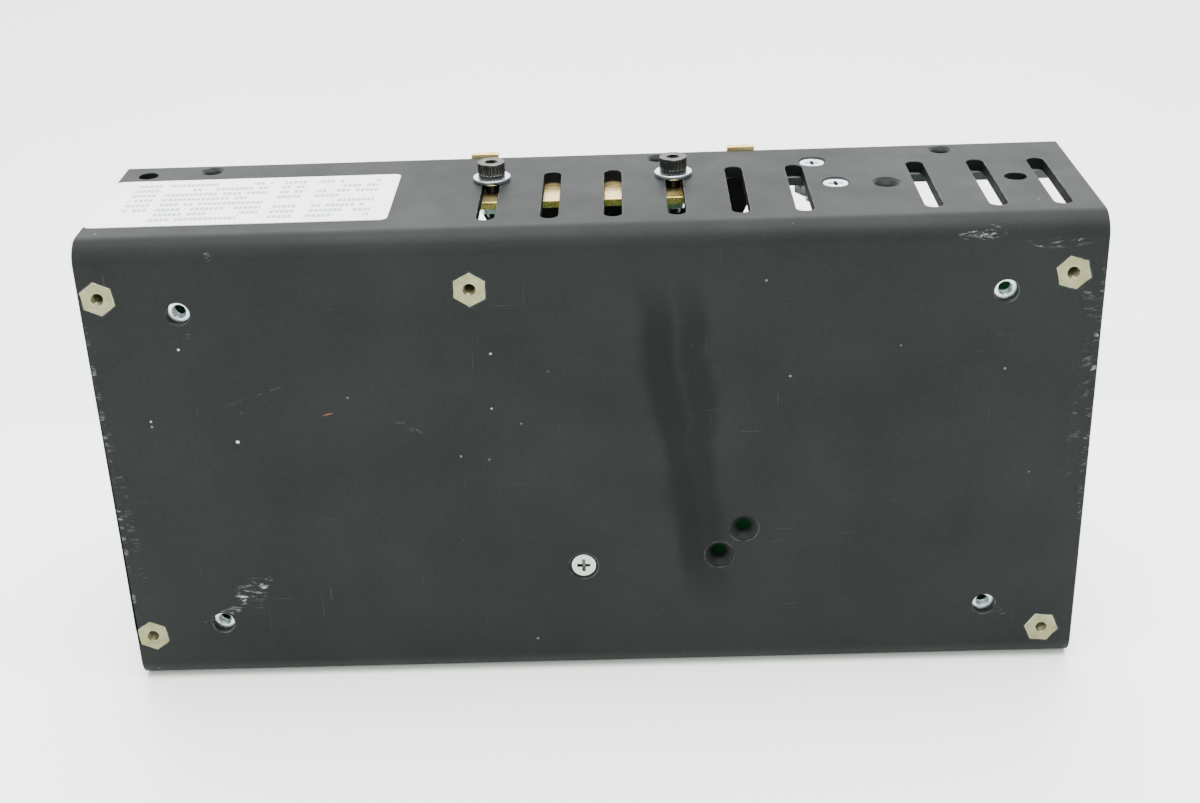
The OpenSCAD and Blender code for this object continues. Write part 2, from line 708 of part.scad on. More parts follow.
card_at = [24, 44];
module control_card() placed() color("#2f6b3c") on_board(card_at[0], card_at[1]) {
    translate([-0.6, -15, 0.3]) cube([1.2, 30, 20]);
    for (y = [-9, 3]) translate([0.6 - eps, y, 8]) cube([1.6, 6, 8]);
    for (y = [-12 : 2.54 : 12]) translate([-1.6, y - 0.25, 0]) cube([1 + eps, 0.5, 3]);
}

// Axial part lying on two bent leads
module axial(body_d, body_l, span) {
    translate([0, 0, body_d / 2 + 0.6]) along_board_x() {
        translate([0, 0, -body_l / 2]) cylinder(d = body_d, h = body_l, $fn = 32);
        translate([0, 0, -span / 2]) cylinder(d = 0.7, h = span, $fn = 16);
    }
    for (s = [-1, 1]) translate([s * (span / 2 - 0.35), 0, 0]) cylinder(d = 0.7, h = body_d / 2 + 0.6, $fn = 16);
}

module resistors() placed() color("#b58f68") {
    for (z = [74, 78, 82]) on_board(-16, z) axial(2.4, 6.5, 12);
    for (z = [9, 13]) on_board(-28, z) axial(2.4, 6.5, 12);
    for (z = [13, 17]) on_board(88, z) axial(2.4, 6.5, 12);
    on_board(72, 10) axial(4.6, 14, 20);
    on_board(4, 76) axial(4.6, 12, 17);
}

module diodes() placed() color("#2a2b2d") {
    for (z = [8.5, 12.5]) on_board(-46, z) axial(3, 5, 11);
    on_board(4, 81) axial(3, 5, 11);
    for (z = [13, 20]) on_board(54, z) axial(5, 9, 15);
}

trimmer_at = [84, 77];
trimmer_side = 9.5;
trimmer_h = 4.8;
rotor_d = 5.6;

module trimmer_body() placed() color("#3b6fb2") on_board(trimmer_at[0], trimmer_at[1]) difference() {
    block(trimmer_side, trimmer_side, trimmer_h, 0.4);
    translate([0, 0, 1.6]) cylinder(d = rotor_d + 0.16, h = trimmer_h);
}

module trimmer_rotor() placed() color("#e9e6da") on_board(trimmer_at[0], trimmer_at[1]) difference() {
    translate([0, 0, 1.7]) cylinder(d = rotor_d, h = 3.9);
    for (a = [0, 90]) rotate(a) translate([-2, -0.4, 4.4]) cube([4, 0.8, 2]);
    translate([1.6, -0.4, 4.4]) cube([2, 0.8, 2]);
}

module indicator_led() placed() color("#58b060") on_board(94, 24) {
    cylinder(d = 3.6, h = 1);
    cylinder(d = 3, h = 3);
    translate([0, 0, 3]) sphere(d = 3);
}

chassis();
hex_standoffs();
threaded_inserts();
base_screw();
centre_spacer();
flange_screws();
cap_screws();
flat_washers();
hex_nuts();
rating_label();
rail_bracket();
rail_foot();
foot_screws();
rail_latch();
latch_spring();
circuit_board();
board_screws();
heat_spreader();
device_bodies();
device_tabs();
device_pad();
heat_sink();
input_block();
input_contacts();
clamp_plate_1();
clamp_plate_2();
clamp_plate_3();
terminal_screw_1();
terminal_screw_2();
terminal_screw_3();
output_header();
header_pins();
fuse();
fuse_clips();
thermistor();
choke_core();
choke_windings();
line_capacitors();
safety_capacitors();
bridge_rectifier();
bulk_capacitors();
transformer_core();
transformer_bobbin();
transformer_winding();
inductor_cores();
inductor_windings();
output_capacitors();
integrated_circuits();
control_card();
resistors();
diodes();
trimmer_body();
trimmer_rotor();
indicator_led();
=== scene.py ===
"""Looks for a switching power supply in a black U-channel chassis with a rail foot.

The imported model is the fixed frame. Everything here is modelled in millimetres in the channel's
own frame (mounting face y = 0, floor z = 0, X along the channel) and placed in its mesh.
"""

from __future__ import annotations

import json
import logging
import math
from dataclasses import dataclass, field
from enum import Enum
from typing import Callable, Iterable, Sequence

import bmesh
import bpy
from mathutils import Matrix, Vector

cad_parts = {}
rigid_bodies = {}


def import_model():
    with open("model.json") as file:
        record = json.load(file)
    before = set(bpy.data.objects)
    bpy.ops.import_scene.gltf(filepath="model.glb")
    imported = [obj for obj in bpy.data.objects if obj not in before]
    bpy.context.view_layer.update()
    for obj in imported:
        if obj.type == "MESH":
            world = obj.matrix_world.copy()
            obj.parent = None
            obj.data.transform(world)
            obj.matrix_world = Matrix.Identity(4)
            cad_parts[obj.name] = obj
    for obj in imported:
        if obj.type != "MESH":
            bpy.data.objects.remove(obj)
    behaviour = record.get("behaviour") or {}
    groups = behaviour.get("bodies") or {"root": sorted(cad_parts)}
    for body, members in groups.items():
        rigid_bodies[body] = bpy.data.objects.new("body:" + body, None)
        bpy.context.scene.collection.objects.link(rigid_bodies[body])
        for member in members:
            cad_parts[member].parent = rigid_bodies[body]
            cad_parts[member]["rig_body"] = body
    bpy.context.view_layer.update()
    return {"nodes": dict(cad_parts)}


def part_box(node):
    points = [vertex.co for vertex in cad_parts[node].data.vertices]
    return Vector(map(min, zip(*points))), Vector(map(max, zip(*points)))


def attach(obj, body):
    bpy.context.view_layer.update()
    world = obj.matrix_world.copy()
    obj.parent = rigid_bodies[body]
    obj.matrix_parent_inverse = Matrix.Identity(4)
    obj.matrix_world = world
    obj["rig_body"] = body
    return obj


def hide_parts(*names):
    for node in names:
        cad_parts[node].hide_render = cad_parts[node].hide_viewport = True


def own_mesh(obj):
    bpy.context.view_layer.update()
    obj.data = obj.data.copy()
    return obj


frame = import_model()

LOG = logging.getLogger("power_supply")
MM = 0.001
TO_FRAME = Matrix.Translation((0.0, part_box("chassis")[0].y, 0.0)) @ Matrix.Scale(MM, 4)
TO_CHANNEL = TO_FRAME.inverted()
ROOT = "power_supply"
# Depths of the board's two faces behind the mounting face, in millimetres.
BOARD_BACK, BOARD_TOP = (round((TO_CHANNEL @ corner).y, 3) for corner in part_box("circuit_board"))
# Pin spacing of chips and headers, a tenth of an inch.
PIN_PITCH = 2.54

Point = Sequence[float]
Stops = Sequence[tuple[float, str]]

# Every soldered lead, as its X, its Z and the radius of its fillet. The parts add theirs here.
joints: list[tuple[float, float, float]] = []


class Axis(Enum):
    """Which way a turned piece's own axis points: +X, +Y off the board, +Z or -Y off the face."""

    ALONG = Matrix(((0, 0, 1), (0, 1, 0), (-1, 0, 0)))
    OFF_BOARD = Matrix(((1, 0, 0), (0, 0, 1), (0, -1, 0)))
    UP = Matrix(((1, 0, 0), (0, 1, 0), (0, 0, 1)))
    OFF_FACE = Matrix(((1, 0, 0), (0, 0, -1), (0, 1, 0)))


# ------------------------------------------------------------------ mesh helpers


@dataclass(frozen=True)
class Span:
    """The box of one solid, in millimetres of the channel's frame."""

    low: Vector
    high: Vector

    @property
    def mid(self) -> Vector:
        """Middle of the box."""
        return (self.low + self.high) / 2

    @property
    def size(self) -> Vector:
        """Lengths of the box's sides."""
        return self.high - self.low


def node_mesh(node: str) -> bmesh.types.BMesh:
    """Copy a CAD node into a new bmesh, in millimetres, with its loose triangles merged.

    Args:
        node: Name of the CAD node.

    Returns:
        The merged copy; the node's own mesh is left alone.
    """
    bm = bmesh.new()
    bm.from_mesh(frame["nodes"][node].data)
    bm.transform(TO_CHANNEL)
    bmesh.ops.remove_doubles(bm, verts=bm.verts, dist=0.0015)
    return bm


def solids(node: str) -> list[Span]:
    """Find the separate solids of a CAD node.

    Args:
        node: Name of the CAD node.

    Returns:
        One box per solid, sorted along X and then up Z.
    """
    bm = node_mesh(node)
    left = set(bm.verts)
    spans = []
    while left:
        group = [left.pop()]
        for vert in group:
            for edge in vert.link_edges:
                other = edge.other_vert(vert)
                if other in left:
                    left.remove(other)
                    group.append(other)
        low = Vector(min(v.co[i] for v in group) for i in range(3))
        high = Vector(max(v.co[i] for v in group) for i in range(3))
        spans.append(Span(low, high))
    bm.free()
    return sorted(spans, key=lambda s: (round(s.mid.x, 1), round(s.mid.z, 1)))


def span_of(node: str) -> Span:
    """Find the box of a whole CAD node in the channel's frame.

    Args:
        node: Name of the CAD node.

    Returns:
        The node's box, in millimetres.
    """
    low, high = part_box(node)
    return Span(TO_CHANNEL @ low, TO_CHANNEL @ high)


def layer(bm: bmesh.types.BMesh, name: str) -> bmesh.types.BMLayerItem:
    """Give the bmesh's float layer of that name on its faces, made if it is missing."""
    return bm.faces.layers.float.get(name) or bm.faces.layers.float.new(name)


def placed(at: Point, axis: Axis = Axis.UP, turn: float = 0.0) -> Matrix:
    """Matrix that puts a shape's origin at a point with its Z along an axis.

    Args:
        at: Place of the origin, in millimetres.
        axis: Way the shape's Z points.
        turn: Degrees the shape is turned about its own Z first.

    Returns:
        The 4x4 placement.
    """
    spin = Matrix.Rotation(math.radians(turn), 4, "Z")
    return Matrix.Translation(at) @ axis.value.to_4x4() @ spin


def lathe(bm: bmesh.types.BMesh, outline: Iterable[tuple[float, float]], where: Matrix,
          steps: int = 32) -> list[bmesh.types.BMFace]:
    """Spin an outline of (radius, height) points into a turned shape.

    Args:
        bm: The bmesh that gets the shape.
        outline: Points from the foot to the top, in millimetres.
        where: Placement of the shape, from placed().
        steps: Number of steps round the full turn.

    Returns:
        The new faces.
    """
    before = set(bm.faces)
    verts = [bm.verts.new((r, 0.0, h)) for r, h in outline]
    edges = [bm.edges.new(pair) for pair in zip(verts, verts[1:])]
    bmesh.ops.spin(bm, geom=verts + edges, cent=(0, 0, 0), axis=(0, 0, 1),
                   angle=math.tau, steps=steps, use_merge=True)
    faces = [f for f in bm.faces if f not in before]
    new_verts = list({v for f in faces for v in f.verts})
    bmesh.ops.transform(bm, matrix=where, verts=new_verts)
    bmesh.ops.remove_doubles(bm, verts=new_verts, dist=0.0005)
    faces = [f for f in bm.faces if f not in before]
    return faces


def block(bm: bmesh.types.BMesh, low: Point, high: Point, edge: float = 0.0,
          where: Matrix | None = None) -> list[bmesh.types.BMFace]:
    """Add a block between two corners, with its edges broken.

    Args:
        bm: The bmesh that gets the block.
        low: Lowest corner, in millimetres.
        high: Highest corner, in millimetres.
        edge: Width of the bevel on every edge.
        where: Placement applied at the end.

    Returns:
        The new faces.
    """
    before = set(bm.faces)
    low, high = Vector(low), Vector(high)
    size = high - low
    shape = Matrix.Translation((low + high) / 2) @ Matrix.Diagonal((*size, 1))
    made = bmesh.ops.create_cube(bm, size=1.0, matrix=shape)
    if edge:
        edges = list({e for v in made["verts"] for e in v.link_edges})
        bmesh.ops.bevel(bm, geom=edges, offset=edge, offset_type="OFFSET", segments=2,
                        profile=0.5, affect="EDGES", clamp_overlap=True, material=-1)
    faces = [f for f in bm.faces if f not in before]
    if where is not None:
        bmesh.ops.transform(bm, matrix=where, verts=list({v for f in faces for v in f.verts}))
    return faces


def wire(bm: bmesh.types.BMesh, points: Sequence[Point], radius: float, detail: int = 1,
         closed: bool = False) -> None:
    """Add a round wire along points, as a curve turned into a mesh.

    Args:
        bm: The bmesh that gets the wire.
        points: Points of the wire's middle line, in millimetres.
        radius: Radius of the wire.
        detail: Bevel resolution of the round section.
        closed: Whether the wire joins up with its start.
    """
    curve = bpy.data.curves.new("wire", "CURVE")
    curve.dimensions = "3D"
    curve.bevel_depth = radius
    curve.bevel_resolution = detail
    curve.use_fill_caps = not closed
    spline = curve.splines.new("POLY")
    spline.points.add(len(points) - 1)
    for knot, point in zip(spline.points, points):
        knot.co = (*point, 1.0)
    spline.use_cyclic_u = closed
    holder = bpy.data.objects.new("wire", curve)
    bm.from_mesh(holder.to_mesh())
    holder.to_mesh_clear()
    bpy.data.objects.remove(holder)
    bpy.data.curves.remove(curve)


def helix(bm: bmesh.types.BMesh, radius: float, pitch: float, turns: float, section: float,
          where: Matrix, sides: int = 6) -> None:
    """Spin a small round section along a screw line, for springs and threads.

    Args:
        bm: The bmesh that gets the helix.
        radius: Radius of the screw line.
        pitch: Rise per turn.
        turns: Number of turns.
        section: Radius of the section.
        where: Placement of the helix's foot.
        sides: Sides of the section.
    """
    before = set(bm.verts)
    lay = Matrix.Translation((radius, 0, 0)) @ Matrix.Rotation(math.pi / 2, 4, "X")
    made = bmesh.ops.create_circle(bm, cap_ends=True, segments=sides, radius=section, matrix=lay)
    steps = int(20 * turns)
    geom = made["verts"] + list({f for v in made["verts"] for f in v.link_faces})
    geom += list({e for v in made["verts"] for e in v.link_edges})
    bmesh.ops.spin(bm, geom=geom, cent=(0, 0, 0), axis=(0, 0, 1), angle=math.tau * turns,
                   steps=steps, dvec=(0, 0, pitch * turns / steps), use_merge=False)
    bmesh.ops.transform(bm, matrix=where, verts=[v for v in bm.verts if v not in before])


def piece(bm: bmesh.types.BMesh, name: str, finish: Finish,
          stands_for: Sequence[str] = (), body: str = ROOT, smooth: float = 38.0,
          outward: bool = True) -> bpy.types.Object:
    """Close a bmesh into a named piece that rides on a body.

    Args:
        bm: The finished shape, in millimetres; it is freed here.
        name: Name of the piece.
        finish: The material's finish.
        stands_for: CAD nodes that the piece replaces.
        body: CAD body it rides on.
        smooth: Edges up to this angle are shaded smooth, in degrees.
        outward: Whether the faces are turned outwards again.

    Returns:
        The new object, at the origin.
    """
    if outward:
        bmesh.ops.recalc_face_normals(bm, faces=bm.faces)
    bm.transform(TO_FRAME)
    mesh = bpy.data.meshes.new(name)
    bm.to_mesh(mesh)
    bm.free()
    mesh.polygons.foreach_set("use_smooth", [True] * len(mesh.polygons))
    mesh.set_sharp_from_angle(angle=math.radians(smooth))
    mesh.materials.append(finish.material())
    obj = bpy.data.objects.new(name, mesh)
    bpy.context.scene.collection.objects.link(obj)
    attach(obj, body)
    if stands_for:
        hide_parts(*stands_for)
    LOG.info("%s: %d faces on %s", name, len(mesh.polygons), body)
    return obj


def softened(node: str, finish: Finish, edge: float = 0.15, angle: float = 35.0,
             marked: Callable[[bmesh.types.BMFace], bool] | None = None,
             segments: int = 2) -> bpy.types.Object:
    """Stand a copy with broken edges in for a hard-edged CAD node.

    Args:
        node: Name of the CAD node.
        finish: The material's finish.
        edge: Width of the bevel in millimetres.
        angle: Edges sharper than this are bevelled, in degrees.
        marked: Picks the faces whose "mark" layer is set, such as sheared edges.
        segments: Segments across the bevel.

    Returns:
        The new object.
    """
    bm = node_mesh(node)
    bmesh.ops.dissolve_limit(bm, angle_limit=math.radians(0.7), verts=bm.verts, edges=bm.edges)
    if marked is not None:
        key = layer(bm, "mark")
        for face in bm.faces:
            face[key] = float(marked(face))
    worn = layer(bm, "worn")
    sharp = [e for e in bm.edges
             if len(e.link_faces) == 2 and e.calc_face_angle(0.0) > math.radians(angle)]
    made = bmesh.ops.bevel(bm, geom=sharp, offset=edge, offset_type="OFFSET", segments=segments,
                           profile=0.5, affect="EDGES", clamp_overlap=False, material=-1)
    for face in made["faces"]:
        face[worn] = 1.0
    body = frame["nodes"][node]["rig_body"]
    obj = piece(bm, node + "_finished", finish, (node,), body, 50.0, outward=False)
    weigh = obj.modifiers.new("even_flats", "WEIGHTED_NORMAL")
    weigh.keep_sharp = True
    return obj


def dress(node: str, finish: Finish) -> None:
    """Give a CAD node that stays as it is its finish.

    Args:
        node: Name of the CAD node.
        finish: The material's finish.
    """
    for holder in frame["nodes"][node].material_slots:
        holder.material = finish.material()
    LOG.info("%s: dressed in %s", node, finish.name)


# ---------------------------------------------------------------------- finishes


def srgb(code: str) -> tuple[float, float, float, float]:
    """Turn an sRGB hex colour into linear RGBA.

    Args:
        code: The colour, such as "#35373a".

    Returns:
        Linear red, green, blue and an alpha of 1.
    """
    parts = [int(code[i:i + 2], 16) / 255 for i in (1, 3, 5)]
    linear = [c / 12.92 if c <= 0.04045 else ((c + 0.055) / 1.055) ** 2.4 for c in parts]
    return (*linear, 1.0)


def add(tree: bpy.types.NodeTree, kind: str, inputs: dict | None = None,
        stops: Stops | None = None, **settings: object) -> bpy.types.Node:
    """Add one node with its settings and links.

    Args:
        tree: The material's node tree.
        kind: Blender's name of the node type.
        inputs: Values or output sockets by input name or number.
        stops: Colour stops of a ramp, as (place, hex colour).
        settings: Properties of the node.

    Returns:
        The new node.
    """
    node = tree.nodes.new(kind)
    for name, value in settings.items():
        setattr(node, name, value)
    for key, value in (inputs or {}).items():
        if isinstance(value, bpy.types.NodeSocket):
            tree.links.new(value, node.inputs[key])
        else:
            node.inputs[key].default_value = value
    for i, (place, code) in enumerate(stops or ()):
        stop = node.color_ramp.elements[i] if i < 2 else node.color_ramp.elements.new(place)
        stop.position = place
        stop.color = srgb(code)
    return node


_MADE: dict[str, bpy.types.Material] = {}


@dataclass(frozen=True)
class Finish:
    """A surface finish: slow mottling, fine grain, broken edges and relief.

    Sizes are real millimetres; a noise of size s has scale 1000 / s in metres.
    """

    name: str
    base: str
    second: str
    rough: float = 0.5
    swing: float = 0.08
    metallic: float = 0.0
    ior: float = 1.5
    mottle: float = 9.0
    grain: float = 0.35
    relief: float = 0.012
    speckle: float = 0.25
    coat: float = 0.0
    coat_rough: float = 0.1
    transmission: float = 0.0
    worn: str = ""
    wear: float = 0.6
    stretch: tuple[float, float, float] = (1.0, 1.0, 1.0)

    def material(self) -> bpy.types.Material:
        """Make the material once and give it back after that."""
        if self.name not in _MADE:
            _MADE[self.name] = self.build()
        return _MADE[self.name]

    def build(self) -> bpy.types.Material:
        """Build the node material.

        Returns:
            The new material.
        """
        mat = bpy.data.materials.new(self.name)
        mat.use_nodes = True
        tree = mat.node_tree
        tree.nodes.clear()
        here = add(tree, "ShaderNodeTexCoord").outputs["Object"]
        fixed = {"Metallic": self.metallic, "Coat Weight": self.coat,
                 "Coat Roughness": self.coat_rough, "Transmission Weight": self.transmission}
        if not self.metallic:
            fixed["IOR"] = self.ior
        shader = add(tree, "ShaderNodeBsdfPrincipled", {
            "Base Color": self.edges(tree, here, self.colour(tree, here)),
            "Roughness": self.roughness(tree, here),
            "Normal": self.bump(tree, here), **fixed})
        add(tree, "ShaderNodeOutputMaterial", {"Surface": shader.outputs[0]})
        return mat

    def colour(self, tree: bpy.types.NodeTree, here: bpy.types.NodeSocket) -> bpy.types.NodeSocket:
        """Mottled colour: slow patches between the two tones, with fine speckle.

        Args:
            tree: The material's node tree.
            here: Object coordinates, in metres.

        Returns:
            The colour socket.
        """
        slow = add(tree, "ShaderNodeTexNoise", {"Vector": here, "Scale": 1000 / self.mottle,
                                                "Detail": 3.0, "Roughness": 0.55})
        fine = add(tree, "ShaderNodeTexNoise", {"Vector": self.drawn(tree, here),
                                                "Scale": 1000 / self.grain, "Detail": 2.0})
        both = add(tree, "ShaderNodeMix", {0: self.speckle, 2: slow.outputs[0], 3: fine.outputs[0]},
                   data_type="FLOAT")
        spread = add(tree, "ShaderNodeMapRange", {0: both.outputs[0], 1: 0.34, 2: 0.66})
        return add(tree, "ShaderNodeMix", {0: spread.outputs[0], 6: srgb(self.base),
                                           7: srgb(self.second)}, data_type="RGBA").outputs[2]

    def drawn(self, tree: bpy.types.NodeTree, here: bpy.types.NodeSocket) -> bpy.types.NodeSocket:
        """Coordinates stretched along the way the surface was drawn or brushed.

        Args:
            tree: The material's node tree.
            here: Object coordinates, in metres.

        Returns:
            The coordinate socket.
        """
        if self.stretch == (1.0, 1.0, 1.0):
            return here
        return add(tree, "ShaderNodeMapping", {"Vector": here, "Scale": self.stretch}).outputs[0]

    def edges(self, tree: bpy.types.NodeTree, here: bpy.types.NodeSocket,
              colour: bpy.types.NodeSocket) -> bpy.types.NodeSocket:
        """Lay the bare colour over broken edges, in patches.

        Args:
            tree: The material's node tree.
            here: Object coordinates, in metres.
            colour: Colour of the surface.

        Returns:
            The colour with its worn edges.
        """
        if not self.worn:
            return colour
        flag = add(tree, "ShaderNodeAttribute", attribute_name="worn")
        patch = add(tree, "ShaderNodeTexNoise", {"Vector": here, "Scale": 320.0, "Detail": 4.0})
        where = add(tree, "ShaderNodeMapRange", {0: patch.outputs[0], 1: 0.42, 2: 0.62, 4: self.wear})
        amount = add(tree, "ShaderNodeMath", {0: flag.outputs["Fac"], 1: where.outputs[0]},
                     operation="MULTIPLY")
        return add(tree, "ShaderNodeMix", {0: amount.outputs[0], 6: colour, 7: srgb(self.worn)},
                   data_type="RGBA").outputs[2]

    def roughness(self, tree: bpy.types.NodeTree,
                  here: bpy.types.NodeSocket) -> bpy.types.NodeSocket:
        """Roughness that swings with handling marks a few millimetres across.

        Args:
            tree: The material's node tree.
            here: Object coordinates, in metres.

        Returns:
            The roughness socket.
        """
        marks = add(tree, "ShaderNodeTexNoise", {"Vector": here, "Scale": 1000 / (self.mottle * 0.6),
                                                 "Detail": 5.0, "Roughness": 0.65})
        return add(tree, "ShaderNodeMapRange", {
            0: marks.outputs[0], 1: 0.3, 2: 0.7, 3: max(0.02, self.rough - self.swing),
            4: self.rough + self.swing}).outputs[0]

    def bump(self, tree: bpy.types.NodeTree, here: bpy.types.NodeSocket) -> bpy.types.NodeSocket:
        """Relief of the grain, in real height.

        Args:
            tree: The material's node tree.
            here: Object coordinates, in metres.

        Returns:
            The normal socket.
        """
        fine = add(tree, "ShaderNodeTexNoise", {"Vector": self.drawn(tree, here),
                                                "Scale": 1000 / self.grain, "Detail": 3.0})
        return add(tree, "ShaderNodeBump", {"Height": fine.outputs[0], "Strength": 1.0,
                                            "Distance": self.relief * MM}).outputs[0]


@dataclass(frozen=True)
class Mark:
    """A spot or stroke on the base plate, in millimetres along X and Z.

    The turn is in degrees, and broken is how coarse its chips are, with 0 for a solid spot.
    """

    x: float
    z: float
    long: float
    wide: float
    turn: float
    code: str
    broken: float = 0.0


@dataclass(frozen=True)
class HandledAnodise(Finish):
    """Black anodised sheet that has been handled: smears, scuffs, specks, hairlines.

    A smear is the X of its middle at z = 0, its lean per millimetre of height, half its width
    and its depth of tone.
    """

    smears: tuple[tuple[float, float, float, float], ...] = ()
    marks: tuple[Mark, ...] = ()

    def colour(self, tree: bpy.types.NodeTree, here: bpy.types.NodeSocket) -> bpy.types.NodeSocket:
        """Mottled black with the smears, then the lighter marks over it.

        Args:
            tree: The material's node tree.
            here: Object coordinates, in metres.

        Returns:
            The colour socket.
        """
        tone = Finish.colour(self, tree, here)
        mm = add(tree, "ShaderNodeVectorMath", {0: here, "Scale": 1000.0}, operation="SCALE")
        axes = add(tree, "ShaderNodeSeparateXYZ", {0: mm.outputs[0]})
        tone = add(tree, "ShaderNodeMix", {0: self.smear(tree, axes, here), 6: tone,
                                           7: srgb("#070808")}, data_type="RGBA").outputs[2]
        tone = self.specked(tree, here, tone)
        tone = self.hairlines(tree, here, tone)
        for mark in self.marks:
            tone = self.marked(tree, axes, here, tone, mark)
        return tone

    def smear(self, tree: bpy.types.NodeTree, axes: bpy.types.Node,
              here: bpy.types.NodeSocket) -> bpy.types.NodeSocket:
        """Mask of the soft bands that run up the plate, each along its own leaning line.

        Args:
            tree: The material's node tree.
            axes: The coordinates in millimetres, separated.
            here: Object coordinates, in metres.

        Returns:
            The mask, from 0 to 1.
        """
        wide = 7.0
        wander = add(tree, "ShaderNodeTexNoise", {"Vector": here, "Scale": 90.0, "Detail": 3.0})
        shift = add(tree, "ShaderNodeMath", {0: wander.outputs[0], 1: wide, 2: axes.outputs[0]},
                    operation="MULTIPLY_ADD")
        rise = add(tree, "ShaderNodeMapRange", {0: axes.outputs[2], 1: 12.0, 2: 32.0},
                   interpolation_type="SMOOTHSTEP")
        fall = add(tree, "ShaderNodeMapRange", {0: axes.outputs[2], 1: 95.0, 2: 80.0},
                   interpolation_type="SMOOTHSTEP")
        run = add(tree, "ShaderNodeMath", {0: rise.outputs[0], 1: fall.outputs[0]},
                  operation="MULTIPLY")
        drift = wide / 2
        mask = None
        for start, lean, half, depth in self.smears:
            line = add(tree, "ShaderNodeMath", {0: axes.outputs[2], 1: -lean, 2: start + drift},
                       operation="MULTIPLY_ADD")
            off = add(tree, "ShaderNodeMath", {0: shift.outputs[0], 1: line.outputs[0]},
                      operation="SUBTRACT")
            far = add(tree, "ShaderNodeMath", {0: off.outputs[0]}, operation="ABSOLUTE")
            near = add(tree, "ShaderNodeMapRange", {0: far.outputs[0], 1: half, 2: half * 0.3,
                                                    4: depth}, interpolation_type="SMOOTHSTEP")
            band = add(tree, "ShaderNodeMath", {0: near.outputs[0], 1: run.outputs[0]},
                       operation="MULTIPLY").outputs[0]
            mask = band if mask is None else add(tree, "ShaderNodeMath", {0: mask, 1: band},
                                                 operation="MAXIMUM").outputs[0]
        return mask

    def specked(self, tree: bpy.types.NodeTree, here: bpy.types.NodeSocket,
                tone: bpy.types.NodeSocket) -> bpy.types.NodeSocket:
        """Strew pale specks of lint 0.3 mm across, drawn a little coarse so that they show.

        Args:
            tree: The material's node tree.
            here: Object coordinates, in metres.
            tone: Colour so far.

        Returns:
            The colour with the specks.
        """
        cells = add(tree, "ShaderNodeTexVoronoi", {"Vector": here, "Scale": 1000 / 7.0})
        dots = add(tree, "ShaderNodeMapRange", {0: cells.outputs["Distance"], 1: 0.05, 2: 0.02})
        few = add(tree, "ShaderNodeSeparateXYZ", {0: cells.outputs["Color"]})
        pick = add(tree, "ShaderNodeMapRange", {0: few.outputs[0], 1: 0.62, 2: 0.95, 4: 0.5})
        amount = add(tree, "ShaderNodeMath", {0: dots.outputs[0], 1: pick.outputs[0]},
                     operation="MULTIPLY")
        return add(tree, "ShaderNodeMix", {0: amount.outputs[0], 6: tone, 7: srgb("#85878a")},
                   data_type="RGBA").outputs[2]

    def hairlines(self, tree: bpy.types.NodeTree, here: bpy.types.NodeSocket,
                  tone: bpy.types.NodeSocket) -> bpy.types.NodeSocket:
        """Add a few short faint hairline scratches in two directions.

        Args:
            tree: The material's node tree.
            here: Object coordinates, in metres.
            tone: Colour so far.

        Returns:
            The colour with the scratches.
        """
        for turn, scale in ((0.9, (1500, 60, 70)), (-0.5, (70, 80, 1900))):
            lines = add(tree, "ShaderNodeMapping", {"Vector": here, "Rotation": (0, turn, 0),
                                                    "Scale": scale})
            noise = add(tree, "ShaderNodeTexNoise", {"Vector": lines.outputs[0], "Scale": 1.0,
                                                     "Detail": 2.0})
            thin = add(tree, "ShaderNodeMapRange", {0: noise.outputs[0], 1: 0.74, 2: 0.8, 4: 0.04})
            tone = add(tree, "ShaderNodeMix", {0: thin.outputs[0], 6: tone, 7: srgb("#9a9da0")},
                       data_type="RGBA").outputs[2]
        return tone

    def marked(self, tree: bpy.types.NodeTree, axes: bpy.types.Node, here: bpy.types.NodeSocket,
               tone: bpy.types.NodeSocket, mark: Mark) -> bpy.types.NodeSocket:
        """Lay one scuff or stroke over the colour.

        Args:
            tree: The material's node tree.
            axes: The coordinates in millimetres, separated.
            here: Object coordinates, in metres.
            tone: Colour so far.
            mark: The scuff's place and size.

        Returns:
            The colour with the mark.
        """
        flat = add(tree, "ShaderNodeCombineXYZ", {0: axes.outputs[0], 1: axes.outputs[2]})
        middle = add(tree, "ShaderNodeVectorMath", {0: flat.outputs[0], 1: (mark.x, mark.z, 0)},
                     operation="SUBTRACT")
        laid = add(tree, "ShaderNodeMapping", {
            "Vector": middle.outputs[0], "Rotation": (0, 0, -math.radians(mark.turn))})
        shape = add(tree, "ShaderNodeVectorMath", {
            0: laid.outputs[0], 1: (2 / mark.long, 2 / mark.wide, 0)}, operation="MULTIPLY")
        far = add(tree, "ShaderNodeVectorMath", {0: shape.outputs[0]}, operation="LENGTH")
        inside = add(tree, "ShaderNodeMapRange", {0: far.outputs["Value"], 1: 1.0, 2: 0.55})
        amount = inside.outputs[0]
        if mark.broken:
            drag = add(tree, "ShaderNodeMapping", {
                "Vector": here, "Rotation": (0, math.radians(mark.turn + 40), 0),
                "Scale": (280 / mark.broken, 900 / mark.broken, 1000 / mark.broken)})
            chips = add(tree, "ShaderNodeTexNoise", {"Vector": drag.outputs[0], "Scale": 1.0,
                                                     "Detail": 6.0, "Roughness": 0.75,
                                                     "Distortion": 1.2})
            cut = add(tree, "ShaderNodeMapRange", {0: chips.outputs[0], 1: 0.55, 2: 0.7, 4: 0.8})
            amount = add(tree, "ShaderNodeMath", {0: amount, 1: cut.outputs[0]},
                         operation="MULTIPLY").outputs[0]
        return add(tree, "ShaderNodeMix", {0: amount, 6: tone, 7: srgb(mark.code)},
                   data_type="RGBA").outputs[2]


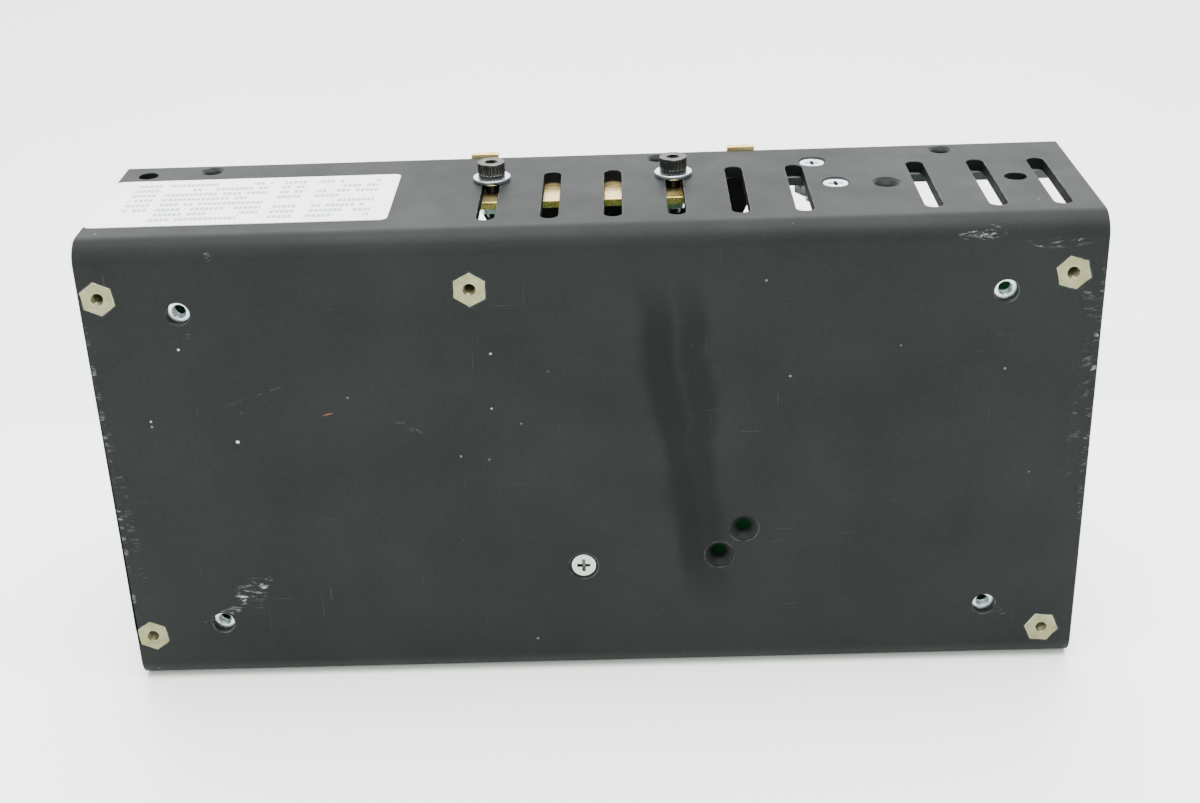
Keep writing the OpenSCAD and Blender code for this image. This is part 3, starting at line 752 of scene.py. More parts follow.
@dataclass(frozen=True)
class YellowChromate(Finish):
    """Zinc plate passivated yellow: gold that drifts to olive and rose, lighter where sheared, partly
    the cut metal and partly a painted highlight.
    """

    # Middle tone of the sheared edges, brighter than the flats: partly bare cut metal, partly a
    # painted highlight against their shade.
    cut: str = "#e3c26a"

    def colour(self, tree: bpy.types.NodeTree, here: bpy.types.NodeSocket) -> bpy.types.NodeSocket:
        """Drifting gold on the flats; on sheared edges, olive to pale chatter round a brighter gold,
        partly cut metal and partly a painted highlight.

        Args:
            tree: The material's node tree.
            here: Object coordinates, in metres.

        Returns:
            The colour socket.
        """
        drift = add(tree, "ShaderNodeTexNoise", {"Vector": here, "Scale": 110.0, "Detail": 4.0,
                                                 "Distortion": 0.6})
        gold = add(tree, "ShaderNodeValToRGB", {0: drift.outputs[0]}, stops=(
            (0.28, "#b3a35c"), (0.74, "#cfb58a"), (0.42, "#cbb068"), (0.52, "#d8c48a"),
            (0.62, "#c9b272")))
        lie = add(tree, "ShaderNodeMapping", {"Vector": here, "Scale": (900, 900, 1900)})
        chatter = add(tree, "ShaderNodeTexNoise", {"Vector": lie.outputs[0], "Scale": 1.0,
                                                   "Detail": 4.0, "Roughness": 0.7})
        sheared_chatter_and_highlight = add(tree, "ShaderNodeValToRGB", {0: chatter.outputs[0]}, stops=(
            (0.34, "#a58b40"), (0.66, "#f6e8b2"), (0.5, self.cut)))
        flag = add(tree, "ShaderNodeAttribute", attribute_name="mark")
        return add(tree, "ShaderNodeMix", {0: flag.outputs["Fac"], 6: gold.outputs[0],
                                           7: sheared_chatter_and_highlight.outputs[0]}, data_type="RGBA").outputs[2]


@dataclass(frozen=True)
class MaskedLaminate(Finish):
    """Glass-epoxy board under green solder mask, with the copper runs showing through."""

    pitch: float = 2.54

    def colour(self, tree: bpy.types.NodeTree, here: bpy.types.NodeSocket) -> bpy.types.NodeSocket:
        """Green that is lighter over copper, with bare laminate at the cut edges.

        Args:
            tree: The material's node tree.
            here: Object coordinates, in metres.

        Returns:
            The colour socket.
        """
        turned = add(tree, "ShaderNodeMapping", {"Vector": here, "Rotation": (math.pi / 2, 0, 0)})
        runs = []
        for scale, width, gap in ((1000 / self.pitch, 6.0, 0.1), (480 / self.pitch, 3.0, 0.05)):
            run = add(tree, "ShaderNodeTexBrick", {
                "Vector": turned.outputs[0], "Color1": (1, 1, 1, 1), "Color2": (0.55, 0.55, 0.55, 1),
                "Mortar": (0, 0, 0, 1), "Scale": scale * 0.25, "Mortar Size": gap,
                "Brick Width": width * 0.5, "Row Height": 1.0, "Bias": -0.1}, offset=0.37)
            runs.append(run.outputs[0])
        pour = add(tree, "ShaderNodeTexNoise", {"Vector": here, "Scale": 55.0, "Detail": 0.0})
        pick = add(tree, "ShaderNodeMapRange", {0: pour.outputs[0], 1: 0.5, 2: 0.505})
        copper = add(tree, "ShaderNodeMix", {0: pick.outputs[0], 6: runs[0], 7: runs[1]},
                     data_type="RGBA")
        green = add(tree, "ShaderNodeMix", {0: copper.outputs[2], 6: srgb(self.base),
                                            7: srgb(self.second)}, data_type="RGBA")
        facing = add(tree, "ShaderNodeNewGeometry")
        out = add(tree, "ShaderNodeSeparateXYZ", {0: facing.outputs["Normal"]})
        flat = add(tree, "ShaderNodeMath", {0: out.outputs[1]}, operation="ABSOLUTE")
        face = add(tree, "ShaderNodeMapRange", {0: flat.outputs[0], 1: 0.4, 2: 0.6})
        return add(tree, "ShaderNodeMix", {0: face.outputs[0], 6: srgb("#8f9a62"),
                                           7: green.outputs[2]}, data_type="RGBA").outputs[2]


@dataclass(frozen=True)
class PrintedFilm(Finish):
    """Pale polyester film label with rows of faint dashes for its print.

    Lengths are in millimetres. The columns are spans of X, and the rows lie in one span of Y.
    """

    row: float = 3.05
    dash: float = 1.0
    word: float = 6.5
    ink: str = "#6d7684"
    columns: tuple[tuple[float, float], ...] = ()
    rows: tuple[float, float] = (0.0, 0.0)

    def colour(self, tree: bpy.types.NodeTree, here: bpy.types.NodeSocket) -> bpy.types.NodeSocket:
        """Film colour with random dashes in rows, inside each printed column.

        Args:
            tree: The material's node tree.
            here: Object coordinates, in metres.

        Returns:
            The colour socket.
        """
        film = Finish.colour(self, tree, here)
        mm = add(tree, "ShaderNodeVectorMath", {0: here, "Scale": 1000.0}, operation="SCALE")
        axes = add(tree, "ShaderNodeSeparateXYZ", {0: mm.outputs[0]})
        line = add(tree, "ShaderNodeMath", {0: axes.outputs[1], 1: self.rows[0]},
                   operation="SUBTRACT")
        step = add(tree, "ShaderNodeMath", {0: line.outputs[0], 1: self.row}, operation="DIVIDE")
        number = add(tree, "ShaderNodeMath", {0: step.outputs[0]}, operation="FLOOR")
        within = add(tree, "ShaderNodeMath", {0: step.outputs[0]}, operation="FRACT")
        body = add(tree, "ShaderNodeMapRange", {0: within.outputs[0], 1: 0.58, 2: 0.54})
        along = add(tree, "ShaderNodeMath", {0: axes.outputs[0], 1: self.dash}, operation="DIVIDE")
        cell = add(tree, "ShaderNodeMath", {0: along.outputs[0]}, operation="FLOOR")
        key = add(tree, "ShaderNodeCombineXYZ", {0: cell.outputs[0], 1: number.outputs[0]})
        chance = add(tree, "ShaderNodeTexWhiteNoise", {0: key.outputs[0]})
        word = add(tree, "ShaderNodeMath", {0: axes.outputs[0], 1: self.word}, operation="DIVIDE")
        part = add(tree, "ShaderNodeMath", {0: word.outputs[0]}, operation="FLOOR")
        group = add(tree, "ShaderNodeCombineXYZ", {0: part.outputs[0], 1: number.outputs[0],
                                                   2: 7.0})
        gone = add(tree, "ShaderNodeTexWhiteNoise", {0: group.outputs[0]})
        kept = add(tree, "ShaderNodeMapRange", {0: gone.outputs["Value"], 1: 0.24, 2: 0.26})
        some = add(tree, "ShaderNodeMapRange", {0: chance.outputs["Value"], 1: 0.13, 2: 0.15})
        bars = add(tree, "ShaderNodeMath", {0: along.outputs[0]}, operation="FRACT")
        gap = add(tree, "ShaderNodeMapRange", {0: bars.outputs[0], 1: 0.8, 2: 0.72})
        low = add(tree, "ShaderNodeMath", {0: axes.outputs[1], 1: self.rows[0]},
                  operation="GREATER_THAN")
        high = add(tree, "ShaderNodeMath", {0: axes.outputs[1], 1: self.rows[1]},
                   operation="LESS_THAN")
        ink = body.outputs[0]
        for other in (some, gap, low, high, kept):
            ink = add(tree, "ShaderNodeMath", {0: ink, 1: other.outputs[0]},
                      operation="MULTIPLY").outputs[0]
        inside = None
        for left, right in self.columns:
            start = add(tree, "ShaderNodeMath", {0: axes.outputs[0], 1: left},
                        operation="GREATER_THAN")
            end = add(tree, "ShaderNodeMath", {0: axes.outputs[0], 1: right},
                      operation="LESS_THAN")
            strip = add(tree, "ShaderNodeMath", {0: start.outputs[0], 1: end.outputs[0]},
                        operation="MULTIPLY").outputs[0]
            inside = strip if inside is None else add(
                tree, "ShaderNodeMath", {0: inside, 1: strip}, operation="MAXIMUM").outputs[0]
        share = add(tree, "ShaderNodeMath", {0: ink, 1: inside}, operation="MULTIPLY")
        faint = add(tree, "ShaderNodeMath", {0: share.outputs[0], 1: 0.85}, operation="MULTIPLY")
        return add(tree, "ShaderNodeMix", {0: faint.outputs[0], 6: film, 7: srgb(self.ink)},
                   data_type="RGBA").outputs[2]


@dataclass(frozen=True)
class Marked(Finish):
    """A finish with a few flat tones chosen by the "mark" layer, such as bands or stripes."""

    tones: Stops = ()

    def colour(self, tree: bpy.types.NodeTree, here: bpy.types.NodeSocket) -> bpy.types.NodeSocket:
        """Mottled base where the mark is zero, and the marked tone elsewhere.

        Args:
            tree: The material's node tree.
            here: Object coordinates, in metres.

        Returns:
            The colour socket.
        """
        ground = Finish.colour(self, tree, here)
        flag = add(tree, "ShaderNodeAttribute", attribute_name="mark")
        tones = add(tree, "ShaderNodeValToRGB", {0: flag.outputs["Fac"]}, stops=self.tones)
        tones.color_ramp.interpolation = "CONSTANT"
        on = add(tree, "ShaderNodeMath", {0: flag.outputs["Fac"], 1: 0.05},
                 operation="GREATER_THAN")
        return add(tree, "ShaderNodeMix", {0: on.outputs[0], 6: ground, 7: tones.outputs[0]},
                   data_type="RGBA").outputs[2]


# Wear on the base plate, as X, Z, length, width, turn in degrees, colour and coarseness.
PLATE_MARKS = (
    # A grain of dust, a red fibre and the scuffs round the lower left insert.
    Mark(-74.0, 58.4, 0.95, 0.85, 0, "#b4b5b3"),
    Mark(-54.7, 64.2, 2.6, 0.34, 14, "#74402f"),
    Mark(-75.5, 21.0, 8.0, 9.0, 0, "#b4b7b7", 1.6),
    Mark(-72.6, 23.6, 6.0, 2.2, 48, "#d4d5d4", 1.0),
    Mark(-81.0, 17.0, 14.0, 2.4, 24, "#85888a", 1.2),
    # Rubbed side edges, left and then right: pale lines along both edges, partly rubbed anodise and
    # partly a painted edge highlight.
    Mark(-101.4, 50.0, 1.8, 84.0, 0, "#8a8e8f", 1.6),
    Mark(-99.6, 44.0, 2.4, 60.0, 4, "#505355", 2.2),
    Mark(101.3, 58.0, 1.8, 76.0, 0, "#8a8e8f", 1.5),
    Mark(99.0, 62.0, 3.2, 46.0, -4, "#55585a", 2.4),
    # Knocks along the bend at the right.
    Mark(91.5, 97.2, 18.0, 2.4, 2, "#8d9091", 1.4),
    Mark(99.2, 84.0, 4.0, 9.0, 30, "#77797c", 1.5),
    Mark(77.5, 99.6, 11.0, 3.0, 4, "#aeb1b1", 1.0),
    # Specks and faint rubs over the rest of the plate.
    Mark(-81.0, 82.4, 1.3, 1.6, 20, "#a7a9a9", 0.6),
    Mark(-83.4, 79.6, 0.7, 0.65, 0, "#9b9d9c"),
    Mark(-91.3, 63.6, 0.6, 0.6, 0, "#8c8e8e"),
    Mark(-21.0, 64.5, 0.6, 0.6, 0, "#7c7f80"),
    Mark(-38.0, 60.5, 12.0, 1.6, -28, "#4c4f51", 1.0),
    Mark(-70.0, 68.5, 16.0, 1.0, 20, "#414446", 0.8),
    Mark(-20.5, 76.8, 0.7, 0.6, 0, "#8a8c8c"),
    Mark(-75.0, 99.2, 1.6, 2.2, 20, "#a4a7a8", 0.7),
    Mark(40.0, 70.0, 0.7, 0.6, 0, "#5e6163"),
    Mark(84.0, 79.0, 7.0, 2.6, 18, "#55585a", 1.4),
    Mark(86.0, 13.0, 9.0, 3.0, -30, "#4f5254", 1.4),
)
# Sheet aluminium, black anodised: satin black, grey where it mirrors the room at a slant.
CHASSIS_BLACK = HandledAnodise(
    "anodised_aluminium_sheet", "#151617", "#1c1e1e", rough=0.5, swing=0.05, ior=1.2,
    mottle=26.0, grain=0.5, relief=0.012, speckle=0.45, worn="#54575a", wear=0.5,
    smears=((24.6, 0.142, 5.4, 0.75), (25.6, 0.06, 4.6, 0.6)),
    marks=PLATE_MARKS)
# The same black on punched walls: rougher, so it mirrors less of the room, and darker as painted
# shade inside the slots and holes.
PUNCHED_SHADED_BLACK = Finish("anodised_aluminium_punched_shaded", "#0f1011", "#161718", rough=0.7, ior=1.12,
                       mottle=4.0, grain=0.4, relief=0.02)
# The same black on parts that nobody handles: even and a little duller.
SINK_BLACK = Finish("anodised_aluminium_fins", "#1d1e20", "#26272a", rough=0.5, ior=1.7,
                    mottle=14.0, grain=0.3, relief=0.008, worn="#5d6064", wear=0.4)
# Stainless hex stock, turned and left bare: warm grey with a soft turned grain.
STAINLESS = Finish("stainless_steel_turned", "#737052", "#8b886c", rough=0.42, metallic=1.0,
                   mottle=3.0, grain=0.22, relief=0.008, swing=0.1, worn="#e2e0d4", wear=0.6)
# Zinc plate, clear passivated: bright with a cold cast.
ZINC = Finish("zinc_plated_steel", "#b4bbc1", "#d0d6db", rough=0.3, metallic=1.0, mottle=2.5,
              grain=0.2, relief=0.006, swing=0.1, worn="#f0f3f5", wear=0.5)
# The same plate on flat-head screws, with painted shade down in the cross recess.
SCREW_ZINC_SHADED_RECESS = Marked("zinc_plated_screw_painted_recess_shade", "#9ba49f", "#b9c2bc", rough=0.32, metallic=1.0,
                    mottle=2.5, grain=0.2, relief=0.006, swing=0.1, worn="#eef1ee", wear=0.5,
                    tones=((0.0, "#9ba49f"), (0.5, "#4c524f")))
# Blued zinc plate, as on the flange screws: bright with a blue cast, with painted shade down in the
# cross recess.
SCREW_BLUED_SHADED_RECESS = Marked("blued_zinc_screw_painted_recess_shade", "#a9bccb", "#cddce6", rough=0.3, metallic=1.0,
                     mottle=2.5, grain=0.2, relief=0.006, swing=0.1, worn="#e9f1f5", wear=0.5,
                     tones=((0.0, "#a9bccb"), (0.5, "#3a4750")))
# Tin plate on contacts, clips and pins: soft warm white.
TIN = Finish("tin_plated_brass", "#cfccc2", "#e6e3d9", rough=0.34, metallic=1.0, mottle=3.0,
             grain=0.25, relief=0.006)
# Black oxide on alloy steel: near-black with brown-grey worn rims.
BLACK_OXIDE = Finish("black_oxide_steel", "#17181a", "#26272a", rough=0.38, swing=0.1,
                     metallic=0.6, mottle=2.2, grain=0.18, relief=0.008, worn="#8d877c", wear=0.7)
# Yellow chromate over zinc on the bracket: pale gold, soft sheen, drifting in tone.
CHROMATE = YellowChromate("yellow_chromate_steel", "#c4a24f", "#d8bd72", rough=0.3, swing=0.12,
                          metallic=0.85, mottle=5.0, grain=0.25, relief=0.012)
# Painted shade on the bracket's inner face, towards the parts on the board: matt black.
SHADE_BLACK_SHEET = Finish("painted_shade_black", "#0d0e0f", "#151618", rough=0.6, ior=1.4, mottle=9.0,
                    grain=0.5, relief=0.01)
# Cold-rolled strip for the latch: grey with a faint drawn grain up its length.
STRIP = Finish("zinc_plated_strip", "#9ea4a9", "#bcc2c6", rough=0.38, metallic=1.0, mottle=7.0,
               grain=0.3, relief=0.008, stretch=(6.0, 1.0, 0.25), worn="#dde1e4")
# Drawn spring steel: bright and nearly smooth.
SPRING_WIRE = Finish("spring_steel_wire", "#8f959a", "#b9bec2", rough=0.25, metallic=1.0,
                     mottle=1.5, grain=0.15, relief=0.004)
# Glass-filled polyamide of the foot: dull black with fine swirl.
FOOT_BLACK = Finish("glass_filled_polyamide", "#222325", "#2d2e30", rough=0.55, ior=1.53,
                    mottle=6.0, grain=0.25, relief=0.02, worn="#45474a", wear=0.5)
# Moulded polyester of the terminal block: black with a low sheen.
BLOCK_BLACK = Finish("moulded_polyester", "#1b1c1e", "#28292c", rough=0.4, ior=1.57, mottle=5.0,
                     grain=0.3, relief=0.012, worn="#3c3e41", wear=0.5)
# Unpigmented polyamide of the header: warm cream, slightly waxy.
HEADER_CREAM = Finish("moulded_polyamide_natural", "#ddd8c6", "#ece8da", rough=0.45, ior=1.53,
                      mottle=4.0, grain=0.3, relief=0.01, worn="#f6f3e9", wear=0.4)
# Blue moulded polyester of the trimmer: even, with a low sheen.
TRIMMER_BLUE = Finish("moulded_polyester_blue", "#245796", "#2f66a8", rough=0.35, ior=1.57,
                      mottle=3.0, grain=0.25, relief=0.01, worn="#6c95c8", wear=0.4)
# Moulded acetal of its rotor: warm white and smooth.
ROTOR_WHITE = Finish("moulded_acetal", "#dedbce", "#efece0", rough=0.4, ior=1.48, mottle=2.0,
                     grain=0.2, relief=0.008)
# Epoxy moulding compound of power devices and chips: charcoal with silica sparkle.
EPOXY_BLACK = Finish("epoxy_moulding_compound", "#18191b", "#2b2c2f", rough=0.48, ior=1.56,
                     mottle=4.0, grain=0.12, relief=0.012, speckle=0.6, worn="#3f4145", wear=0.4)
# Sintered manganese-zinc ferrite: dark grey, slightly shiny with pits.
FERRITE = Finish("sintered_ferrite", "#2b2d30", "#3c3f43", rough=0.36, ior=2.2, mottle=5.0,
                 grain=0.18, relief=0.02, speckle=0.5, worn="#5a5e63", wear=0.6)
# Sendust ring under black epoxy paint with a dark green flat side.
RING_BLACK = Marked("painted_sendust", "#15171a", "#1f2226", rough=0.35, ior=1.52,
                    mottle=3.0, grain=0.4, relief=0.02, coat=0.3,
                    tones=((0.0, "#15171a"), (0.5, "#1d3a30")))
# Moulded phenolic of the bobbin: dark green-black with a fine grain.
PHENOLIC = Finish("moulded_phenolic", "#20261f", "#2e352c", rough=0.42, ior=1.6, mottle=5.0,
                  grain=0.25, relief=0.014, worn="#49524a", wear=0.4)
# Magnet wire under polyurethane enamel: copper with a red-brown glassy skin.
MAGNET_WIRE = Finish("enamelled_copper_wire", "#a4492a", "#c4673a", rough=0.3, metallic=0.9,
                     mottle=3.5, grain=0.3, relief=0.004, coat=0.7, coat_rough=0.12)
# Polyester tape round the windings: black film, glossy, with its turns' brown edges.
TAPE = Marked("polyester_tape", "#16140f", "#241f17", rough=0.28, ior=1.6, mottle=4.0,
              grain=0.9, relief=0.03, coat=0.5, coat_rough=0.15,
              tones=((0.0, "#16140f"), (0.5, "#5c3c16")))
# Shrunk sleeve on the cans: dark film with a pale stripe down one side.
SLEEVE = Marked("shrunk_sleeve_film", "#191c26", "#232735", rough=0.3, ior=1.53, mottle=6.0,
                grain=0.6, relief=0.01, coat=0.4, coat_rough=0.15,
                tones=((0.0, "#191c26"), (0.3, "#a9afbd"), (0.8, "#3a3f4d")))
# The same sleeve in blue, on the output cans.
SLEEVE_BLUE = Marked("shrunk_sleeve_film_blue", "#1c2c55", "#24396b", rough=0.3, ior=1.53,
                     mottle=6.0, grain=0.6, relief=0.01, coat=0.4, coat_rough=0.15,
                     tones=((0.0, "#1c2c55"), (0.3, "#b9c3d6"), (0.8, "#31426e")))
# Drawn aluminium where the sleeve leaves the can bare: soft grey-white.
CAN_TOP = Finish("drawn_aluminium", "#b9bcbf", "#d3d6d8", rough=0.32, metallic=1.0, mottle=3.0,
                 grain=0.25, relief=0.006)
# Moulded case of the line capacitors: matt mustard yellow.
FILM_YELLOW = Marked("filled_polyester_case", "#c7a93a", "#d6bb52", rough=0.42, ior=1.55,
                     mottle=5.0, grain=0.3, relief=0.012, worn="#e2cf83", wear=0.4,
                     tones=((0.0, "#c7a93a"), (0.5, "#4a4126")))
# Dipped phenolic: glossy red-brown drops with an orange-peel skin.
DIPPED_BROWN = Finish("dipped_phenolic_brown", "#4a2416", "#5e301c", rough=0.28, ior=1.55, mottle=3.0,
                     grain=0.8, relief=0.03, coat=0.4)
# Dipped silicone on the thermistor: dull dark green.
DIPPED_GREEN = Finish("dipped_silicone_green", "#1f2f27", "#2c4036", rough=0.4, ior=1.45,
                      mottle=3.0, grain=0.7, relief=0.03)
# Tinned copper leads and solder: bright, slightly cloudy.
SOLDERED = Finish("tinned_copper_lead", "#c6c8ca", "#e0e2e3", rough=0.25, metallic=1.0,
                  mottle=1.5, grain=0.2, relief=0.01)
# Lacquered film resistors: glossy tan under four colour bands.
RESISTOR_TAN = Marked("lacquered_film_resistor", "#b08a5c", "#c39c6c", rough=0.35, ior=1.52,
                      mottle=2.5, grain=0.4, relief=0.015, coat=0.3,
                      tones=((0.0, "#b08a5c"), (0.1, "#5a3219"), (0.3, "#17161a"),
                             (0.5, "#c8502a"), (0.7, "#b89236")))
# Moulded diodes: charcoal with one pale band.
DIODE_BLACK = Marked("moulded_diode", "#1c1d1f", "#28292c", rough=0.42, ior=1.56, mottle=3.0,
                     grain=0.2, relief=0.01, tones=((0.0, "#1c1d1f"), (0.4, "#b9bcbf")))
# Borosilicate tube of the fuse: clear and nearly smooth.
GLASS = Finish("borosilicate_tube", "#eef4f2", "#f8fbfa", rough=0.05, swing=0.03, ior=1.47,
               mottle=4.0, grain=1.0, relief=0.001, transmission=0.96)
# Nickel plate on the fuse caps: bright with a warm cast.
FUSE_CAP = Finish("nickel_plated_brass", "#c2bda9", "#d9d4c2", rough=0.24, metallic=1.0,
                  mottle=2.0, grain=0.2, relief=0.006, worn="#ede9da", wear=0.4)
# Tinted epoxy of the lamp's lens: glossy green that lets light in.
LED_GREEN = Finish("tinted_epoxy_lens", "#3d9c55", "#62c277", rough=0.14, swing=0.05, ior=1.53,
                   mottle=2.0, grain=0.6, relief=0.004, transmission=0.55)
# Filled silicone pad under the device: matt blue-grey.
SILICONE = Finish("silicone_pad", "#7f8a8f", "#98a2a6", rough=0.6, ior=1.42, mottle=3.0,
                  grain=0.3, relief=0.02, stretch=(2.0, 1.0, 1.0))
# Glass-epoxy laminate under solder mask: green and half glossy.
LAMINATE = MaskedLaminate("solder_masked_laminate", "#1d5a31", "#2f7d47", rough=0.3, swing=0.06,
                          ior=1.55, mottle=9.0, grain=0.4, relief=0.01, coat=0.25)
# Legend ink on the board: matt off-white.
LEGEND = Finish("legend_ink", "#d8dbd2", "#eceee6", rough=0.6, mottle=2.0, grain=0.2,
                relief=0.006)
# Polyester label film with thin print: near-white, slightly glossy.
LABEL_FILM = PrintedFilm("printed_polyester_film", "#dfe5e3", "#e8edea", rough=0.34, swing=0.06,
                         ior=1.6, mottle=14.0, grain=0.8, relief=0.006,
                         columns=((-96.5, -91.0), (-89.5, -67.5), (-65.0, -60.0), (-57.5, -44.5)),
                         rows=(-17.6, 6.8))


# ------------------------------------------------------------------- sub-assemblies


@dataclass
class Chassis:
    """The U channel with its pressed-in hardware, label and flange screws.

    The flange's punched part runs from low_corner to high_corner in X and Y, above flange_low.
    A cross recess lies within recess_r of its screw's middle, deeper than skin under the head.
    """

    edge: float = 0.22
    flange_low: float = 100.4
    low_corner: tuple[float, float] = (-101.0, 5.0)
    high_corner: tuple[float, float] = (101.0, 46.5)
    skin: float = 0.06
    recess_deep: float = 2.2
    recess_r: float = 1.75
    thread_pitch: float = 0.8
    standoff_bore: float = 2.5
    insert_bore: float = 2.85
    base_screws: list[Span] = field(default_factory=lambda: solids("base_screw"))
    flange_screws: list[Span] = field(default_factory=lambda: solids("flange_screws"))
    standoffs: list[Span] = field(default_factory=lambda: solids("hex_standoffs"))
    inserts: list[Span] = field(default_factory=lambda: solids("threaded_inserts"))

    def build(self) -> None:
        """Make the sheet, its hardware and the label."""
        sheet = softened("chassis", CHASSIS_BLACK, self.edge, angle=60.0, segments=3)
        self.punched(sheet)
        softened("hex_standoffs", STAINLESS, 0.12)
        softened("threaded_inserts", ZINC, 0.15)
        # The screws' cross recesses get a darker tone: painted shade.
        softened("base_screw", SCREW_ZINC_SHADED_RECESS, 0.08, marked=self.in_shaded_recess)
        softened("flange_screws", SCREW_BLUED_SHADED_RECESS, 0.08, marked=self.in_shaded_recess)
        softened("cap_screws", BLACK_OXIDE, 0.09)
        softened("flat_washers", ZINC, 0.12)
        softened("hex_nuts", ZINC, 0.15)
        softened("centre_spacer", ZINC, 0.12)
        self.threads()
        self.label()

    def in_shaded_recess(self, face: bmesh.types.BMFace) -> bool:
        """Whether a face lies in the cross recess of one of the flat-head screws, where shade is
        painted.

        Args:
            face: A face of the node's copy, in millimetres.

        Returns:
            Whether the face is marked.
        """
        at = face.calc_center_median()
        into = [(at.y - s.low.y, math.hypot(at.x - s.mid.x, at.z - s.mid.z))
                for s in self.base_screws]
        into += [(s.high.z - at.z, math.hypot(at.x - s.mid.x, at.y - s.mid.y))
                 for s in self.flange_screws]
        return any(self.skin < depth < self.recess_deep and near < self.recess_r
                   for depth, near in into)

    def punched(self, sheet: bpy.types.Object) -> None:
        """Give the walls of the flange's punched slots and holes their duller black, darker as
        painted shade.

        Args:
            sheet: The finished channel.
        """
        sheet.data.materials.append(PUNCHED_SHADED_BLACK.material())
        for face in sheet.data.polygons:
            at = TO_CHANNEL @ face.center
            inside = (self.low_corner[0] < at.x < self.high_corner[0]
                      and self.low_corner[1] < at.y < self.high_corner[1])
            if inside and at.z > self.flange_low and abs(face.normal.z) < 0.5:
                face.material_index = 1

    def threads(self) -> None:
        """Cut a screw thread into every standoff and insert, as a ridge on its bore."""
        sets = (("standoff_threads", self.standoffs, self.standoff_bore, STAINLESS,
                 "hex_standoffs"),
                ("insert_threads", self.inserts, self.insert_bore, ZINC, "threaded_inserts"))
        for name, spans, bore, finish, slot in sets:
            bm = bmesh.new()
            for span in spans:
                deep = span.size.y - 0.5
                foot = placed((span.mid.x, span.low.y + 0.3, span.mid.z), Axis.OFF_BOARD)
                helix(bm, bore / 2 + 0.02, self.thread_pitch, deep / self.thread_pitch, 0.2,
                      foot, sides=4)
            piece(bm, name, finish)

    def label(self) -> None:
        """Dress the label's film."""
        dress("rating_label", LABEL_FILM)


@dataclass
class RailMount:
    """The plated bracket, the moulded foot and the sprung latch.

    The bracket turns down at bend_y, and the painted shade on its inner face ends at the height
    shade_top.
    """

    bend_y: float = 48.0
    shade_top: float = 100.0
    coil_d: float = 3.6
    wire_d: float = 0.55
    turns: float = 7.5

    def build(self) -> None:
        """Make the bracket, foot, latch and spring."""
        bracket = softened("rail_bracket", CHROMATE, 0.1, marked=self.sheared)
        self.paint_inner_shade(bracket)
        softened("rail_foot", FOOT_BLACK, 0.35)
        softened("foot_screws", ZINC, 0.08)
        softened("rail_latch", STRIP, 0.2)
        self.spring()

    def paint_inner_shade(self, bracket: bpy.types.Object) -> None:
        """Paint the back plate's inner face matt black below shade_top, as painted shade inside the
        channel.

        Args:
            bracket: The finished bracket.
        """
        # Painted shade: a matt black with no thickness of its own, on the inner face where the leg
        # lies in shade.
        bracket.data.materials.append(SHADE_BLACK_SHEET.material())
        bm = bmesh.new()
        bm.from_mesh(bracket.data)
        bmesh.ops.bisect_plane(bm, geom=[*bm.verts, *bm.edges, *bm.faces],
                               plane_co=TO_FRAME @ Vector((0, 0, self.shade_top)), plane_no=(0, 0, 1))
        for face in bm.faces:
            at = TO_CHANNEL @ face.calc_center_median()
            back = self.bend_y < at.y < self.bend_y + 0.5
            if face.normal.y < -0.9 and back and at.z < self.shade_top:
                face.material_index = 1
        bm.to_mesh(bracket.data)
        bm.free()

    def sheared(self, face: bmesh.types.BMFace) -> bool:
        """Whether a face of the bracket is a sheared edge and not a flat of the sheet.

        Args:
            face: A face of the node's copy, in millimetres.

        Returns:
            Whether the face is marked.
        """
        across = face.normal.z if face.calc_center_median().y < self.bend_y else face.normal.y
        return abs(across) < 0.5 and face.calc_area() > 0.5

    def spring(self) -> None:
        """Coil the latch's spring and give it a mesh of its own."""
        span = span_of("latch_spring")
        bm = bmesh.new()
        tall = span.size.z - self.wire_d
        foot = (span.mid.x, span.mid.y, span.low.z + self.wire_d / 2)
        helix(bm, (self.coil_d - self.wire_d) / 2, tall / self.turns, self.turns,
              self.wire_d / 2, placed(foot), sides=8)
        spring = piece(bm, "latch_spring_coil", SPRING_WIRE, ("latch_spring",))
        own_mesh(spring)


@dataclass
class HeatPath:
    """Heat sink, spreader bar and the two power devices."""

    def build(self) -> None:
        """Make the sinks and the devices clamped to them."""
        softened("heat_sink", SINK_BLACK, 0.15)
        softened("heat_spreader", SINK_BLACK, 0.2)
        softened("device_bodies", EPOXY_BLACK, 0.18)
        softened("device_tabs", SOLDERED, 0.08)
        softened("board_screws", ZINC, 0.08)
        dress("device_pad", SILICONE)


@dataclass
class Terminals:
    """Input block with its clamps and screws, and the output header."""

    def build(self) -> None:
        """Make the block, contacts, clamps, screws and header."""
        softened("input_block", BLOCK_BLACK, 0.2)
        softened("input_contacts", TIN, 0.08)
        for i in (1, 2, 3):
            softened(f"clamp_plate_{i}", ZINC, 0.12)
            softened(f"terminal_screw_{i}", ZINC, 0.12)
        softened("output_header", HEADER_CREAM, 0.18)
        softened("header_pins", TIN, 0.3, segments=1)


